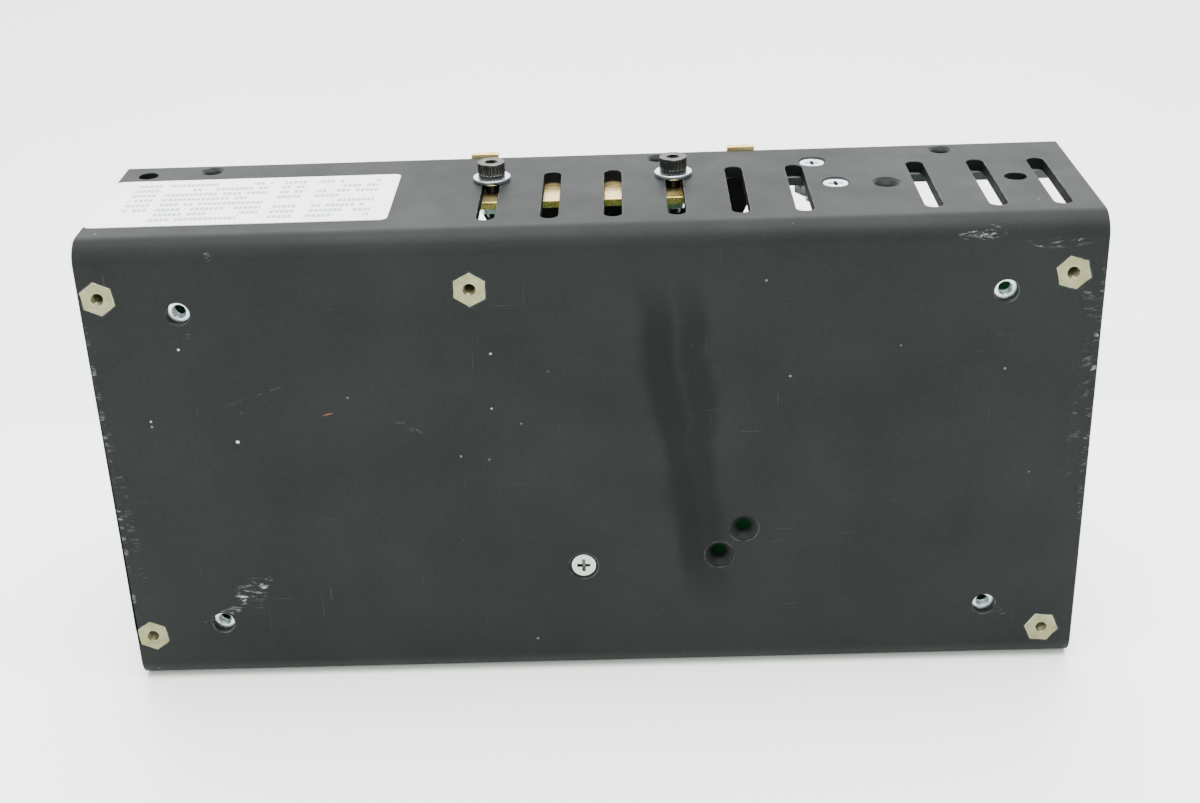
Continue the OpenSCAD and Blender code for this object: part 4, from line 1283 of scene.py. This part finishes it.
@dataclass
class Cans:
    """Electrolytic capacitors: sleeve, rolled rim, vent cross and stripe.

    The lip is the sleeve's turned-in rim, and the stripe is half its width in degrees.
    """

    node: str
    finish: Finish
    lip: float = 1.3
    stripe: float = 24.0

    def build(self) -> None:
        """Make the sleeves and the bare tops of every can."""
        sleeves, tops = bmesh.new(), bmesh.new()
        layer(sleeves, "mark")
        for i, span in enumerate(solids(self.node)):
            self.sleeve(sleeves, span, 180.0 if i % 2 else 0.0)
            self.top(tops, span)
        piece(sleeves, self.node + "_sleeves", self.finish, (self.node,))
        piece(tops, self.node + "_tops", CAN_TOP)

    def sleeve(self, bm: bmesh.types.BMesh, span: Span, turn: float) -> None:
        """Turn one sleeve and mark its stripe.

        Args:
            bm: The bmesh of all sleeves.
            span: Box of the can.
            turn: Degrees to the side that the stripe faces.
        """
        r, h = span.size.x / 2, span.size.y
        lip = min(self.lip, r * 0.3)
        outline = [(0, 0.05), (r - 1.2, 0.05), (r - 1.0, 0.3), (r - 0.25, 0.35), (r, 0.9), (r, 1.7)]
        outline += [(r - 0.35, 2.1), (r - 0.5, 2.4), (r - 0.35, 2.7), (r, 3.2)]
        outline += [(r, h - 1.1), (r - 0.12, h - 0.6), (r - 0.4, h - 0.2), (r - 0.8, h - 0.05)]
        outline += [(r - lip, h - 0.1), (r - lip - 0.05, h - 0.35), (0, h - 0.4)]
        foot = placed((span.mid.x, span.low.y, span.mid.z), Axis.OFF_BOARD, turn)
        key = layer(bm, "mark")
        back = foot.inverted()
        for face in lathe(bm, outline, foot, steps=48):
            at = back @ face.calc_center_median()
            angle = abs(math.degrees(math.atan2(at.y, at.x)))
            if angle < self.stripe and 0.5 < at.z < h - 0.7:
                face[key] = 0.5

    def top(self, bm: bmesh.types.BMesh, span: Span) -> None:
        """Make the bare top of one can with its vent scored in it.

        Args:
            bm: The bmesh of all tops.
            span: Box of the can.
        """
        r, h = span.size.x / 2, span.size.y
        lip = min(self.lip, r * 0.3)
        foot = placed((span.mid.x, span.low.y, span.mid.z), Axis.OFF_BOARD)
        inner = r - lip - 0.02
        lathe(bm, [(0, h - 0.3), (inner - 0.35, h - 0.3), (inner, h - 0.2), (inner, h - 0.45),
                   (0, h - 0.45)], foot, steps=40)
        arm = inner * 0.72
        for turn in (45, 135):
            block(bm, (-arm, -0.16, h - 0.31), (arm, 0.16, h - 0.24), 0.02,
                  foot @ Matrix.Rotation(math.radians(turn), 4, "Z"))


@dataclass
class Discs:
    """Dipped discs on two leads: a thermistor or safety capacitors."""

    node: str
    finish: Finish
    lead: float = 0.35

    def build(self) -> None:
        """Make the dipped bodies with coating down the leads, and the leads."""
        bodies, leads = bmesh.new(), bmesh.new()
        for span in solids(self.node):
            self.one(bodies, leads, span)
        piece(bodies, self.node + "_dipped", self.finish, (self.node,), smooth=60)
        piece(leads, self.node + "_leads", SOLDERED)

    def one(self, bodies: bmesh.types.BMesh, leads: bmesh.types.BMesh, span: Span) -> None:
        """Make one disc.

        Args:
            bodies: The bmesh of dipped bodies.
            leads: The bmesh of leads.
            span: Box of the disc with its leads.
        """
        across = span.size.x < span.size.z
        d = span.size.z if across else span.size.x
        t = span.size.x if across else span.size.z
        r = d / 2
        centre = (span.mid.x, span.high.y - r, span.mid.z)
        arc = [math.radians(a) for a in range(-90, 91, 10)]
        outline = [(r * math.cos(a) ** 0.45, t / 2 * math.sin(a)) for a in arc[1:-1]]
        outline = [(0, -t / 2), *outline, (0, t / 2)]
        lathe(bodies, outline, placed(centre, Axis.ALONG if across else Axis.UP), steps=40)
        for s in (-1, 1):
            foot = Vector((span.mid.x, BOARD_TOP, span.mid.z))
            foot += Vector((0, 0, s * d / 4)) if across else Vector((s * d / 4, 0, 0))
            rise = span.high.y - r - BOARD_TOP
            lathe(bodies, [(0, 1.5), (0.5, 1.6), (0.62, 2.4), (0.95, 3.6), (1.3, rise * 0.62),
                           (0, rise * 0.75)], placed(foot, Axis.OFF_BOARD), steps=14)
            wire(leads, [foot, foot + Vector((0, rise * 0.7, 0))], self.lead)
            joints.append((foot.x, foot.z, 0.9))


@dataclass
class Toroids:
    """Wound rings: a two-part mains choke or single output inductors.

    The hole's share is of the ring's outside; starts and sweep are in degrees.
    """

    cores: str
    windings: str
    core_finish: Finish
    hole_share: float
    wire_d: float
    starts: tuple[float, ...]
    sweep: float
    lead_gap: float
    corner: float = 0.7

    def build(self) -> None:
        """Make every ring and its turns."""
        core, turns = bmesh.new(), bmesh.new()
        layer(core, "mark")
        for span in solids(self.cores):
            self.ring(core, span)
            for start in self.starts:
                self.winding(turns, span, start)
        piece(core, self.cores + "_ring", self.core_finish, (self.cores,))
        piece(turns, self.windings + "_turns", MAGNET_WIRE, (self.windings,),
              smooth=70)

    def hole(self, span: Span) -> float:
        """Radius of the ring's hole, from the ring's outside."""
        return span.size.x / 2 * self.hole_share

    def ring(self, bm: bmesh.types.BMesh, span: Span) -> None:
        """Turn one ring with rounded corners; one flat side carries a second paint.

        Args:
            bm: The bmesh of all rings.
            span: Box of the ring.
        """
        r, hole, t = span.size.x / 2, self.hole(span), span.size.z / 2
        c = self.corner
        outline = [(hole, -t + c), (hole + c * 0.3, -t + c * 0.3), (hole + c, -t), (r - c, -t),
                   (r - c * 0.3, -t + c * 0.3), (r, -t + c), (r, t - c),
                   (r - c * 0.3, t - c * 0.3), (r - c, t), (hole + c, t),
                   (hole + c * 0.3, t - c * 0.3), (hole, t - c), (hole, -t + c)]
        key = layer(bm, "mark")
        for face in lathe(bm, outline, placed(span.mid), steps=56):
            face[key] = 0.6 if face.calc_center_median().z > span.mid.z + t - 0.8 else 0.0

    def winding(self, bm: bmesh.types.BMesh, span: Span, start: float) -> None:
        """Wind one layer of touching turns and bring both ends down to the board.

        Args:
            bm: The bmesh of all turns.
            span: Box of the ring.
            start: Degrees at which the winding starts.
        """
        gap = self.wire_d / 2
        inner, outer = self.hole(span) - gap, span.size.x / 2 + gap
        tall = span.size.z / 2 + gap
        count = int(math.radians(self.sweep) * inner / self.wire_d)
        corner = gap * 1.3
        loop = [(inner, 0.0), (inner, tall - corner), (inner + corner * 0.4, tall - corner * 0.3),
                (inner + corner, tall), (outer - corner, tall),
                (outer - corner * 0.3, tall - corner * 0.4), (outer, tall - corner), (outer, 0.0),
                (outer, -tall + corner), (outer - corner * 0.3, -tall + corner * 0.4),
                (outer - corner, -tall), (inner + corner, -tall),
                (inner + corner * 0.4, -tall + corner * 0.3), (inner, -tall + corner)]
        points = []
        for k in range(count * len(loop)):
            turn, i = divmod(k, len(loop))
            share = (turn + i / len(loop)) / count
            angle = math.radians(start + self.sweep * share)
            r, h = loop[i]
            points.append(span.mid + Vector((r * math.cos(angle), r * math.sin(angle), h)))
        wire(bm, points, gap * 0.97, detail=2)
        side = 1 if points[0].x > span.mid.x else -1
        for s in (-1, 1):
            top = Vector((span.mid.x + side * self.lead_gap, span.mid.y - outer * 0.62,
                          span.mid.z + s * (tall - gap)))
            knee = Vector((top.x + side * 0.6, BOARD_TOP + 2.2, top.z))
            wire(bm, [top, top.lerp(knee, 0.5), knee, (knee.x, BOARD_TOP - 0.2, knee.z)], gap * 0.97,
                 detail=2)
            joints.append((knee.x, knee.z, 1.1))


@dataclass
class Transformer:
    """Ferrite core, moulded bobbin and taped windings with their fly leads."""

    pins: int = 5
    pin_pitch: float = 5.0
    flap_steps: int = 6

    def build(self) -> None:
        """Make the core, bobbin, tape and fly leads."""
        softened("transformer_core", FERRITE, 0.35, segments=3)
        softened("transformer_bobbin", PHENOLIC, 0.2)
        self.tape()
        self.fly_leads()

    def tape(self) -> None:
        """Wrap the winding in steps of tape with a loose end."""
        span = span_of("transformer_winding")
        r, h = span.size.x / 2, span.size.y
        bm = bmesh.new()
        layer(bm, "mark")
        foot = placed((span.mid.x, span.low.y, span.mid.z), Axis.OFF_BOARD)
        inner = r - 5.4
        outline = [(inner, 0.1), (r - 1.0, 0.1), (r - 0.9, 0.9), (r - 0.35, 1.0), (r - 0.3, 1.3),
                   (r - 0.12, 1.4), (r - 0.1, h * 0.5), (r - 0.12, h - 1.4), (r - 0.3, h - 1.3),
                   (r - 0.35, h - 1.0), (r - 0.9, h - 0.9), (r - 1.0, h - 0.1), (inner, h - 0.1),
                   (inner, 0.1)]
        key = layer(bm, "mark")
        for face in lathe(bm, outline, foot, steps=56):
            depth = face.calc_center_median().y - span.low.y
            face[key] = 0.7 if depth < 1.0 or depth > h - 1.0 else 0.0
        for k in range(self.flap_steps):
            where = foot @ Matrix.Rotation(math.radians(200) + k * 0.09, 4, "Z")
            lift = 0.008 + 0.006 * k
            block(bm, (r - 0.12, -0.6, 1.6), (r - 0.08 + lift, 0.62, h - 1.6), 0.0, where)
        piece(bm, "transformer_tape", TAPE, ("transformer_winding",),
              smooth=25)

    def fly_leads(self) -> None:
        """Lead the wire ends from the windings down to the bobbin's pins."""
        span = span_of("transformer_bobbin")
        bm = bmesh.new()
        for s in (-1, 1):
            for k in range(self.pins):
                x = span.mid.x + (k - (self.pins - 1) / 2) * self.pin_pitch
                z = span.mid.z + s * (span.size.z / 2 - 0.7)
                top = Vector((span.mid.x + (x - span.mid.x) * 0.6, BOARD_TOP + 12,
                              span.mid.z + s * 10.6))
                bend = Vector((x, BOARD_TOP + 9.6, z - s * 0.6))
                wire(bm, [top, top.lerp(bend, 0.6) + Vector((0, 0.5, 0)), bend,
                          (x, BOARD_TOP + 8.2, z + s * 0.35), (x, BOARD_TOP + 0.3, z + s * 0.35)],
                     0.32, detail=1)
                joints.append((x, z, 1.0))
        piece(bm, "transformer_fly_leads", MAGNET_WIRE, smooth=60)


@dataclass
class Fuse:
    """Glass fuse with its caps and wire, held in two clips."""

    glass_r: float = 2.3
    cap_l: float = 5.0

    def build(self) -> None:
        """Make the tube, caps, wire and clips."""
        span = span_of("fuse")
        mid, half, r = span.mid, span.size.x / 2, span.size.y / 2
        tube, caps = bmesh.new(), bmesh.new()
        inside = half - self.cap_l + 0.6
        along = placed(mid, Axis.ALONG)
        lathe(tube, [(self.glass_r, -inside), (self.glass_r, inside), (self.glass_r - 0.5, inside),
                     (self.glass_r - 0.5, -inside), (self.glass_r, -inside)], along, steps=36)
        piece(tube, "fuse_tube", GLASS)
        for s in (-1, 1):
            profile = [(0, half), (r - 0.7, half), (r - 0.25, half - 0.12), (r, half - 0.5),
                       (r, half - self.cap_l + 0.5), (r - 0.08, half - self.cap_l + 0.15),
                       (r - 0.3, half - self.cap_l), (self.glass_r, half - self.cap_l),
                       (0, half - self.cap_l + 0.4)]
            lathe(caps, [(a, s * b) for a, b in profile], along, steps=36)
        reach = [i * inside / 4 for i in range(-4, 5)]
        wire(caps, [mid + Vector((x, 0.25 * math.sin(x), 0)) for x in reach], 0.12)
        piece(caps, "fuse_caps", FUSE_CAP, ("fuse",))
        softened("fuse_clips", TIN, 0.15)
        for x in (mid.x - 7.5, mid.x + 7.5):
            joints.extend([(x, mid.z - 2.2, 1.2), (x, mid.z + 2.2, 1.2)])


@dataclass
class Axials:
    """Axial parts lying on the board: a body of revolution on two bent leads.

    Each body radius has two body lengths, for a short and for a long reach of the leads.
    """

    node: str
    finish: Finish
    lengths: dict[float, tuple[float, float]]
    long_reach: float = 18.0
    lead: float = 0.35
    waist: float = 0.12

    def build(self) -> None:
        """Make the bodies with their bands, and the leads."""
        bodies, leads = bmesh.new(), bmesh.new()
        layer(bodies, "mark")
        for span in solids(self.node):
            self.one(bodies, leads, span)
        piece(bodies, self.node + "_bodies", self.finish, (self.node,), smooth=50)
        piece(leads, self.node + "_leads", SOLDERED)

    def one(self, bodies: bmesh.types.BMesh, leads: bmesh.types.BMesh, span: Span) -> None:
        """Make one part.

        Args:
            bodies: The bmesh of bodies.
            leads: The bmesh of leads.
            span: Box of the part with its leads.
        """
        r = span.size.z / 2
        length = self.lengths[round(r, 1)][span.size.x > self.long_reach]
        half = length / 2
        banded = self.node == "resistors"
        centre = Vector((span.mid.x, span.high.y - r, span.mid.z))
        if banded:
            outline = [(0, -half), (r * 0.6, -half), (r * 0.9, -half + 0.2), (r, -half + 0.6),
                       (r, -half + length * 0.16), (r - self.waist, -half + length * 0.22)]
            for share in (0.26, 0.34, 0.41, 0.49):
                outline.append((r - self.waist, -half + length * share))
            outline += [(r - self.waist, half - length * 0.22), (r, half - length * 0.16),
                        (r, half - 0.6), (r * 0.9, half - 0.2), (r * 0.6, half), (0, half)]
            bands, band = ((0.15, 0.1), (0.32, 0.3), (0.52, 0.45), (0.76, 0.88)), 0.05
        else:
            outline = [(0, -half), (r * 0.8, -half), (r * 0.93, -half + 0.15), (r, -half + 0.4),
                       (r, half - 1.6), (r, half - 0.7), (r, half - 0.4), (r * 0.93, half - 0.15),
                       (r * 0.8, half), (0, half)]
            bands, band = ((0.6, 0.8),), 0.1
        key = layer(bodies, "mark")
        for face in lathe(bodies, outline, placed(centre, Axis.ALONG), steps=28):
            share = (face.calc_center_median().x - centre.x) / length + 0.5
            for mark, at in bands:
                if abs(share - at) < band:
                    face[key] = mark
        reach = span.size.x / 2 - self.lead
        for s in (-1, 1):
            bend = centre + Vector((s * reach, 0, 0))
            wire(leads, [centre + Vector((s * (half - 0.1), 0, 0)), bend - Vector((s * 0.7, 0, 0)),
                         bend - Vector((s * 0.2, 0.18, 0)), bend - Vector((0, 0.7, 0)),
                         (bend.x, BOARD_TOP - 0.2, bend.z)], self.lead)
            joints.append((bend.x, bend.z, 0.9))


@dataclass
class Chips:
    """Dual in-line chips with notch, pin-one dot and formed legs."""

    node: str = "integrated_circuits"
    body_height: float = 3.0
    draft: float = 0.22

    def build(self) -> None:
        """Make the moulded bodies and the legs."""
        bodies, legs = bmesh.new(), bmesh.new()
        layer(bodies, "mark")
        spans = solids(self.node)
        packages = {(round(s.mid.x), round(s.mid.z)): s for s in spans
                    if s.size.y > self.body_height}
        for span in packages.values():
            self.package(bodies, span)
        for span in spans:
            if span.size.y < self.body_height:
                home = min(packages.values(), key=lambda p, s=span: (p.mid - s.mid).length)
                self.leg(legs, span, home)
        piece(bodies, "chip_bodies", EPOXY_BLACK, (self.node,))
        piece(legs, "chip_legs", SOLDERED)

    def package(self, bm: bmesh.types.BMesh, span: Span) -> None:
        """Mould one body in two drafted halves with a parting line.

        Args:
            bm: The bmesh of all bodies.
            span: Box of the body.
        """
        low, high = span.low.copy(), span.high.copy()
        mid = (low.y + high.y) / 2
        for y0, y1 in ((low.y + 0.02, mid), (mid, high.y)):
            faces = block(bm, (low.x, y0, low.z), (high.x, y1, high.z), 0.0)
            tip = y0 if y0 < mid else y1
            verts = [v for v in {v for f in faces for v in f.verts} if abs(v.co.y - tip) < 0.01]
            for vert in verts:
                vert.co.x += self.draft if vert.co.x < span.mid.x else -self.draft
                vert.co.z += self.draft if vert.co.z < span.mid.z else -self.draft
        wide = span.size.x > span.size.z
        notch = (Vector((low.x + 0.9, high.y, span.mid.z)) if wide
                 else Vector((span.mid.x, high.y, low.z + 0.9)))
        lathe(bm, [(0, -0.02), (0.55, -0.02), (0.62, 0.012), (0.7, 0.012), (0.7, -0.05)],
              placed(notch, Axis.OFF_BOARD), steps=20)
        dot = notch + (Vector((0.6, 0, 1.9)) if wide else Vector((1.9, 0, 0.6)))
        lathe(bm, [(0, -0.02), (0.3, -0.02), (0.38, 0.012), (0.45, -0.05)],
              placed(dot, Axis.OFF_BOARD), steps=16)

    def leg(self, bm: bmesh.types.BMesh, span: Span, home: Span) -> None:
        """Form one leg: shoulder out of the body, bend and narrow pin.

        Args:
            bm: The bmesh of all legs.
            span: Box of the leg.
            home: Box of the body that it belongs to.
        """
        wide = home.size.x > home.size.z
        out = span.mid - home.mid
        s = math.copysign(1, out.z if wide else out.x)
        top = BOARD_TOP + 2.3
        if wide:
            block(bm, (span.low.x - 0.4, top - 0.25, span.mid.z - 0.15 - (s > 0) * 0.5),
                  (span.high.x + 0.4, top, span.mid.z + 0.15 + (s < 0) * 0.5), 0.05)
            block(bm, (span.low.x - 0.4, BOARD_TOP + 0.7, span.low.z),
                  (span.high.x + 0.4, top, span.high.z), 0.05)
        else:
            block(bm, (span.mid.x - 0.15 - (s > 0) * 0.5, top - 0.25, span.low.z - 0.4),
                  (span.mid.x + 0.15 + (s < 0) * 0.5, top, span.high.z + 0.4), 0.05)
            block(bm, (span.low.x, BOARD_TOP + 0.7, span.low.z - 0.4),
                  (span.high.x, top, span.high.z + 0.4), 0.05)
        block(bm, (span.low.x, BOARD_TOP - 0.2, span.low.z),
              (span.high.x, BOARD_TOP + 0.9, span.high.z), 0.04)
        joints.append((span.mid.x, span.mid.z, 0.8))


@dataclass
class ControlCard:
    """Small upright card with two chips, chip resistors and a row of pins."""

    thick: float = 1.2
    chip_half: float = 3.0
    resistors: int = 9
    resistor_step: float = 3.2
    pins: int = 10

    def build(self) -> None:
        """Make the card, its chips and its pins."""
        span = span_of("control_card")
        left = span.low.x + 1.0
        face = left + self.thick
        card = bmesh.new()
        block(card, (left, BOARD_TOP + 0.3, span.low.z), (face, span.high.y, span.high.z), 0.06)
        piece(card, "control_card_laminate", LAMINATE, ("control_card",))
        dark, bright = bmesh.new(), bmesh.new()
        for z in (span.mid.z - 6, span.mid.z + 6):
            self.chip(dark, bright, face, z)
        for k in range(self.resistors):
            self.resistor(dark, bright, face, span.low.z + 2.2 + k * self.resistor_step)
        for k in range(self.pins):
            z = span.mid.z + 12 - PIN_PITCH * k
            block(bright, (left - 0.85, BOARD_TOP - 0.2, z - 0.25),
                  (left - 0.35, BOARD_TOP + 3, z + 0.25), 0.08)
            block(bright, (left - 0.5, BOARD_TOP + 2.4, z - 0.25),
                  (left + 0.05, BOARD_TOP + 3, z + 0.25), 0.05)
            joints.append((left - 0.6, z, 0.8))
        piece(dark, "control_card_chips", EPOXY_BLACK)
        piece(bright, "control_card_pins", SOLDERED)

    def chip(self, dark: bmesh.types.BMesh, bright: bmesh.types.BMesh, face: float,
             z: float) -> None:
        """Set one eight-legged chip on the card.

        Args:
            dark: The bmesh of moulded bodies.
            bright: The bmesh of legs and pins.
            face: X of the card's face.
            z: Height of the chip's middle.
        """
        half = self.chip_half
        block(dark, (face, BOARD_TOP + 8, z - half), (face + 1.5, BOARD_TOP + 16, z + half), 0.2)
        for k in range(4):
            y = BOARD_TOP + 8.9 + k * 2.0
            for s in (-1, 1):
                foot = z + s * (half + 0.6)
                block(bright, (face, y - 0.25, foot - 0.6), (face + 0.5, y + 0.25, foot + 0.6),
                      0.05)

    def resistor(self, dark: bmesh.types.BMesh, bright: bmesh.types.BMesh, face: float,
                 z: float) -> None:
        """Set one chip resistor with its two end caps on the card.

        Args:
            dark: The bmesh of moulded bodies.
            bright: The bmesh of legs, caps and pins.
            face: X of the card's face.
            z: Height of the resistor's middle.
        """
        block(dark, (face, BOARD_TOP + 3.6, z - 0.45), (face + 0.5, BOARD_TOP + 5.0, z + 0.45),
              0.05)
        for y in (3.35, 5.0):
            block(bright, (face, BOARD_TOP + y, z - 0.5),
                  (face + 0.55, BOARD_TOP + y + 0.3, z + 0.5), 0.04)


@dataclass
class BoardParts:
    """The board and every part soldered to it."""

    outline_nodes: tuple[str, ...] = ("line_capacitors", "bulk_capacitors", "output_capacitors",
                                      "safety_capacitors", "thermistor", "resistors", "diodes",
                                      "bridge_rectifier", "trimmer_body", "fuse")

    def build(self) -> None:
        """Make the parts first and then the board's solder and print."""
        dress("circuit_board", LAMINATE)
        Cans("bulk_capacitors", SLEEVE).build()
        Cans("output_capacitors", SLEEVE_BLUE, lip=0.9).build()
        Discs("safety_capacitors", DIPPED_BROWN).build()
        Discs("thermistor", DIPPED_GREEN).build()
        Toroids("choke_core", "choke_windings", FERRITE, 6.5 / 12, wire_d=1.1,
                starts=(-65.0, 115.0), sweep=130.0, lead_gap=6.0).build()
        Toroids("inductor_cores", "inductor_windings", RING_BLACK, 5.2 / 9, wire_d=1.2,
                starts=(105.0,), sweep=330.0, lead_gap=4.0).build()
        Transformer().build()
        Fuse().build()
        Axials("resistors", RESISTOR_TAN, {1.2: (6.5, 6.5), 2.3: (12.0, 14.0)}).build()
        Axials("diodes", DIODE_BLACK, {1.5: (5.0, 5.0), 2.5: (9.0, 9.0)}).build()
        Chips().build()
        ControlCard().build()
        softened("line_capacitors", FILM_YELLOW, 0.6, segments=3)
        softened("bridge_rectifier", EPOXY_BLACK, 0.3)
        softened("trimmer_body", TRIMMER_BLUE, 0.2)
        softened("trimmer_rotor", ROTOR_WHITE, 0.15)
        self.lamp()
        self.solder()
        self.legend()

    def lamp(self) -> None:
        """Turn the lamp's lens and set its lead frame inside."""
        span = span_of("indicator_led")
        lens, leads = bmesh.new(), bmesh.new()
        foot = placed((span.mid.x, span.low.y, span.mid.z), Axis.OFF_BOARD)
        dome = [(1.5 * math.cos(math.radians(a)), 3 + 1.5 * math.sin(math.radians(a)))
                for a in range(0, 90, 10)]
        lathe(lens, [(0, 0.05), (1.8, 0.05), (1.8, 0.95), (1.5, 1.0), *dome, (0, 4.5)], foot,
              steps=32)
        piece(lens, "indicator_lens", LED_GREEN, ("indicator_led",), smooth=50)
        for x in (-0.6, 0.6):
            block(leads, (span.mid.x + x - 0.35, BOARD_TOP - 0.2, span.mid.z - 0.2),
                  (span.mid.x + x + 0.35, BOARD_TOP + (2.2 if x < 0 else 2.6), span.mid.z + 0.2),
                  0.05)
            joints.append((span.mid.x + x * 2, span.mid.z, 0.8))
        piece(leads, "indicator_leads", SOLDERED)

    def solder(self) -> None:
        """Put a lead end and solder fillet on both sides at every joint."""
        for name in ("bulk_capacitors", "output_capacitors"):
            for span in solids(name):
                reach = 5.0 if span.size.x > 20 else 2.5 if span.size.x > 9 else 1.25
                joints.extend((span.mid.x + s * reach, span.mid.z, 1.1) for s in (-1, 1))
        for span in solids("line_capacitors"):
            reach = span.size.x / 2 - 1.8
            joints.extend((span.mid.x + s * reach, span.mid.z, 1.1) for s in (-1, 1))
        for span in solids("header_pins"):
            joints.append((span.mid.x, span.mid.z, 1.2))
        bm = bmesh.new()
        for x, z, r in joints:
            lathe(bm, [(0, 1.5), (0.28, 1.45), (0.34, 0.95), (r * 0.6, 0.4), (r, 0.04), (r, -0.02),
                       (0, -0.02)], placed((x, BOARD_BACK, z), Axis.OFF_FACE), steps=12)
            lathe(bm, [(0, -0.02), (r, -0.02), (r, 0.03), (r * 0.62, 0.09), (0.4, 0.32),
                       (0, 0.34)], placed((x, BOARD_TOP, z), Axis.OFF_BOARD), steps=12)
        piece(bm, "solder_joints", SOLDERED, smooth=60)

    def legend(self) -> None:
        """Print the outlines of the parts on the board."""
        bm = bmesh.new()
        top = BOARD_TOP + 0.03
        for node in self.outline_nodes:
            for span in solids(node):
                if "capacitors" in node and abs(span.size.x - span.size.z) < 0.3:
                    r = span.size.x / 2 + 0.5
                    lathe(bm, [(r, 0.0), (r + 0.22, 0.0), (r + 0.22, 0.03), (r, 0.03), (r, 0)],
                          placed((span.mid.x, BOARD_TOP, span.mid.z), Axis.OFF_BOARD), steps=40)
                    continue
                x0, x1 = span.low.x - 0.7, span.high.x + 0.7
                z0, z1 = span.low.z - 0.7, span.high.z + 0.7
                for a, b in (((x0, z0), (x1, z0 + 0.2)), ((x0, z1 - 0.2), (x1, z1)),
                             ((x0, z0), (x0 + 0.2, z1)), ((x1 - 0.2, z0), (x1, z1))):
                    block(bm, (a[0], BOARD_TOP, a[1]), (b[0], top, b[1]))
        piece(bm, "board_legend", LEGEND)


# -------------------------------------------------------------------------- studio


@dataclass
class Studio:
    """Pale table, soft lights and the camera, in metres.

    The camera's turn is a rotation vector away from looking along +Y, in radians.
    """

    eye: tuple[float, float, float] = (0.00795, -0.34915, 0.22038)
    turn: tuple[float, float, float] = (0.45173, -0.03113, -0.01242)
    lens: float = 52.14
    table_edge: float = 0.104

    def build(self) -> None:
        """Make the table, lights, room light and camera."""
        self.table()
        self.room()
        self.light("key_panel", (-0.1, 0.95, 0.75), (1.8, 0.8), 22.0)
        self.light("top_panel", (0.1, -0.1, 1.3), (1.2, 1.2), 56.0)
        self.light("front_panel", (-0.5, -1.3, 0.75), (1.4, 1.0), 16.0)
        self.camera()

    def table(self) -> None:
        """Lay a wide white laminate table top, a little darker past table_edge behind the object,
        with a painted shadow line along that edge.
        """
        bm = bmesh.new()
        bmesh.ops.create_grid(bm, x_segments=1, y_segments=1, size=3.0)
        mesh = bpy.data.meshes.new("table_top")
        bm.to_mesh(mesh)
        bm.free()
        mat = bpy.data.materials.new("white_laminate_painted_shadow_line")
        mat.use_nodes = True
        tree = mat.node_tree
        tree.nodes.clear()
        here = add(tree, "ShaderNodeTexCoord").outputs["Object"]
        axes = add(tree, "ShaderNodeSeparateXYZ", {0: here})
        past = add(tree, "ShaderNodeMapRange", {
            0: axes.outputs[1], 1: self.table_edge - 0.012, 2: self.table_edge + 0.045})
        # The darker stops just past table_edge paint a soft shadow line along the table's back edge.
        tone = add(tree, "ShaderNodeValToRGB", {0: past.outputs[0]}, stops=(
            (0.0, "#f8fdf6"), (1.0, "#eef4ed"), (0.18, "#e9efe8"), (0.3, "#e7ede6")))
        cloud = add(tree, "ShaderNodeTexNoise", {"Vector": here, "Scale": 9.0, "Detail": 2.0})
        rough = add(tree, "ShaderNodeMapRange", {0: cloud.outputs[0], 3: 0.3, 4: 0.42})
        shader = add(tree, "ShaderNodeBsdfPrincipled", {
            "Base Color": tone.outputs[0], "Roughness": rough.outputs[0], "IOR": 1.45})
        add(tree, "ShaderNodeOutputMaterial", {"Surface": shader.outputs[0]})
        mesh.materials.append(mat)
        table = bpy.data.objects.new("table_top", mesh)
        bpy.context.scene.collection.objects.link(table)

    def room(self) -> None:
        """Fill the room with even light, pale with a faint green cast."""
        world = bpy.data.worlds.new("pale_room")
        world.use_nodes = True
        ground = world.node_tree.nodes["Background"]
        ground.inputs["Color"].default_value = srgb("#eef8f1")
        ground.inputs["Strength"].default_value = 1.42
        bpy.context.scene.world = world

    def light(self, name: str, at: Point, size: tuple[float, float], power: float) -> None:
        """Hang one soft panel that looks at the object.

        Args:
            name: Name of the light.
            at: Its place, in metres.
            size: Width and height of the panel, in metres.
            power: Power in watts.
        """
        data = bpy.data.lights.new(name, "AREA")
        data.shape = "RECTANGLE"
        data.size, data.size_y = size
        data.energy = power
        lamp = bpy.data.objects.new(name, data)
        aim = (Vector((0, 0, 0.05)) - Vector(at)).to_track_quat("-Z", "Y")
        lamp.matrix_world = Matrix.Translation(at) @ aim.to_matrix().to_4x4()
        lamp.visible_camera = False
        bpy.context.scene.collection.objects.link(lamp)

    def camera(self) -> None:
        """Set the camera at its place."""
        data = bpy.data.cameras.new("camera")
        data.lens = self.lens
        data.sensor_width = 36.0
        data.clip_start = 0.01
        lie = Vector(self.turn)
        rows = Matrix.Rotation(lie.length, 3, lie.normalized())
        right, ahead, up = rows[0], rows[1], rows[2]
        turn = Matrix((right, up, -ahead)).transposed().to_4x4()
        cam = bpy.data.objects.new("camera", data)
        cam.matrix_world = Matrix.Translation(self.eye) @ turn
        bpy.context.scene.collection.objects.link(cam)
        bpy.context.scene.camera = cam


def main() -> None:
    """Build the studio and every sub-assembly."""
    logging.basicConfig(level=logging.INFO, format="%(name)s: %(message)s")
    Studio().build()
    Chassis().build()
    RailMount().build()
    HeatPath().build()
    Terminals().build()
    BoardParts().build()


if __name__ == "__main__":
    main()
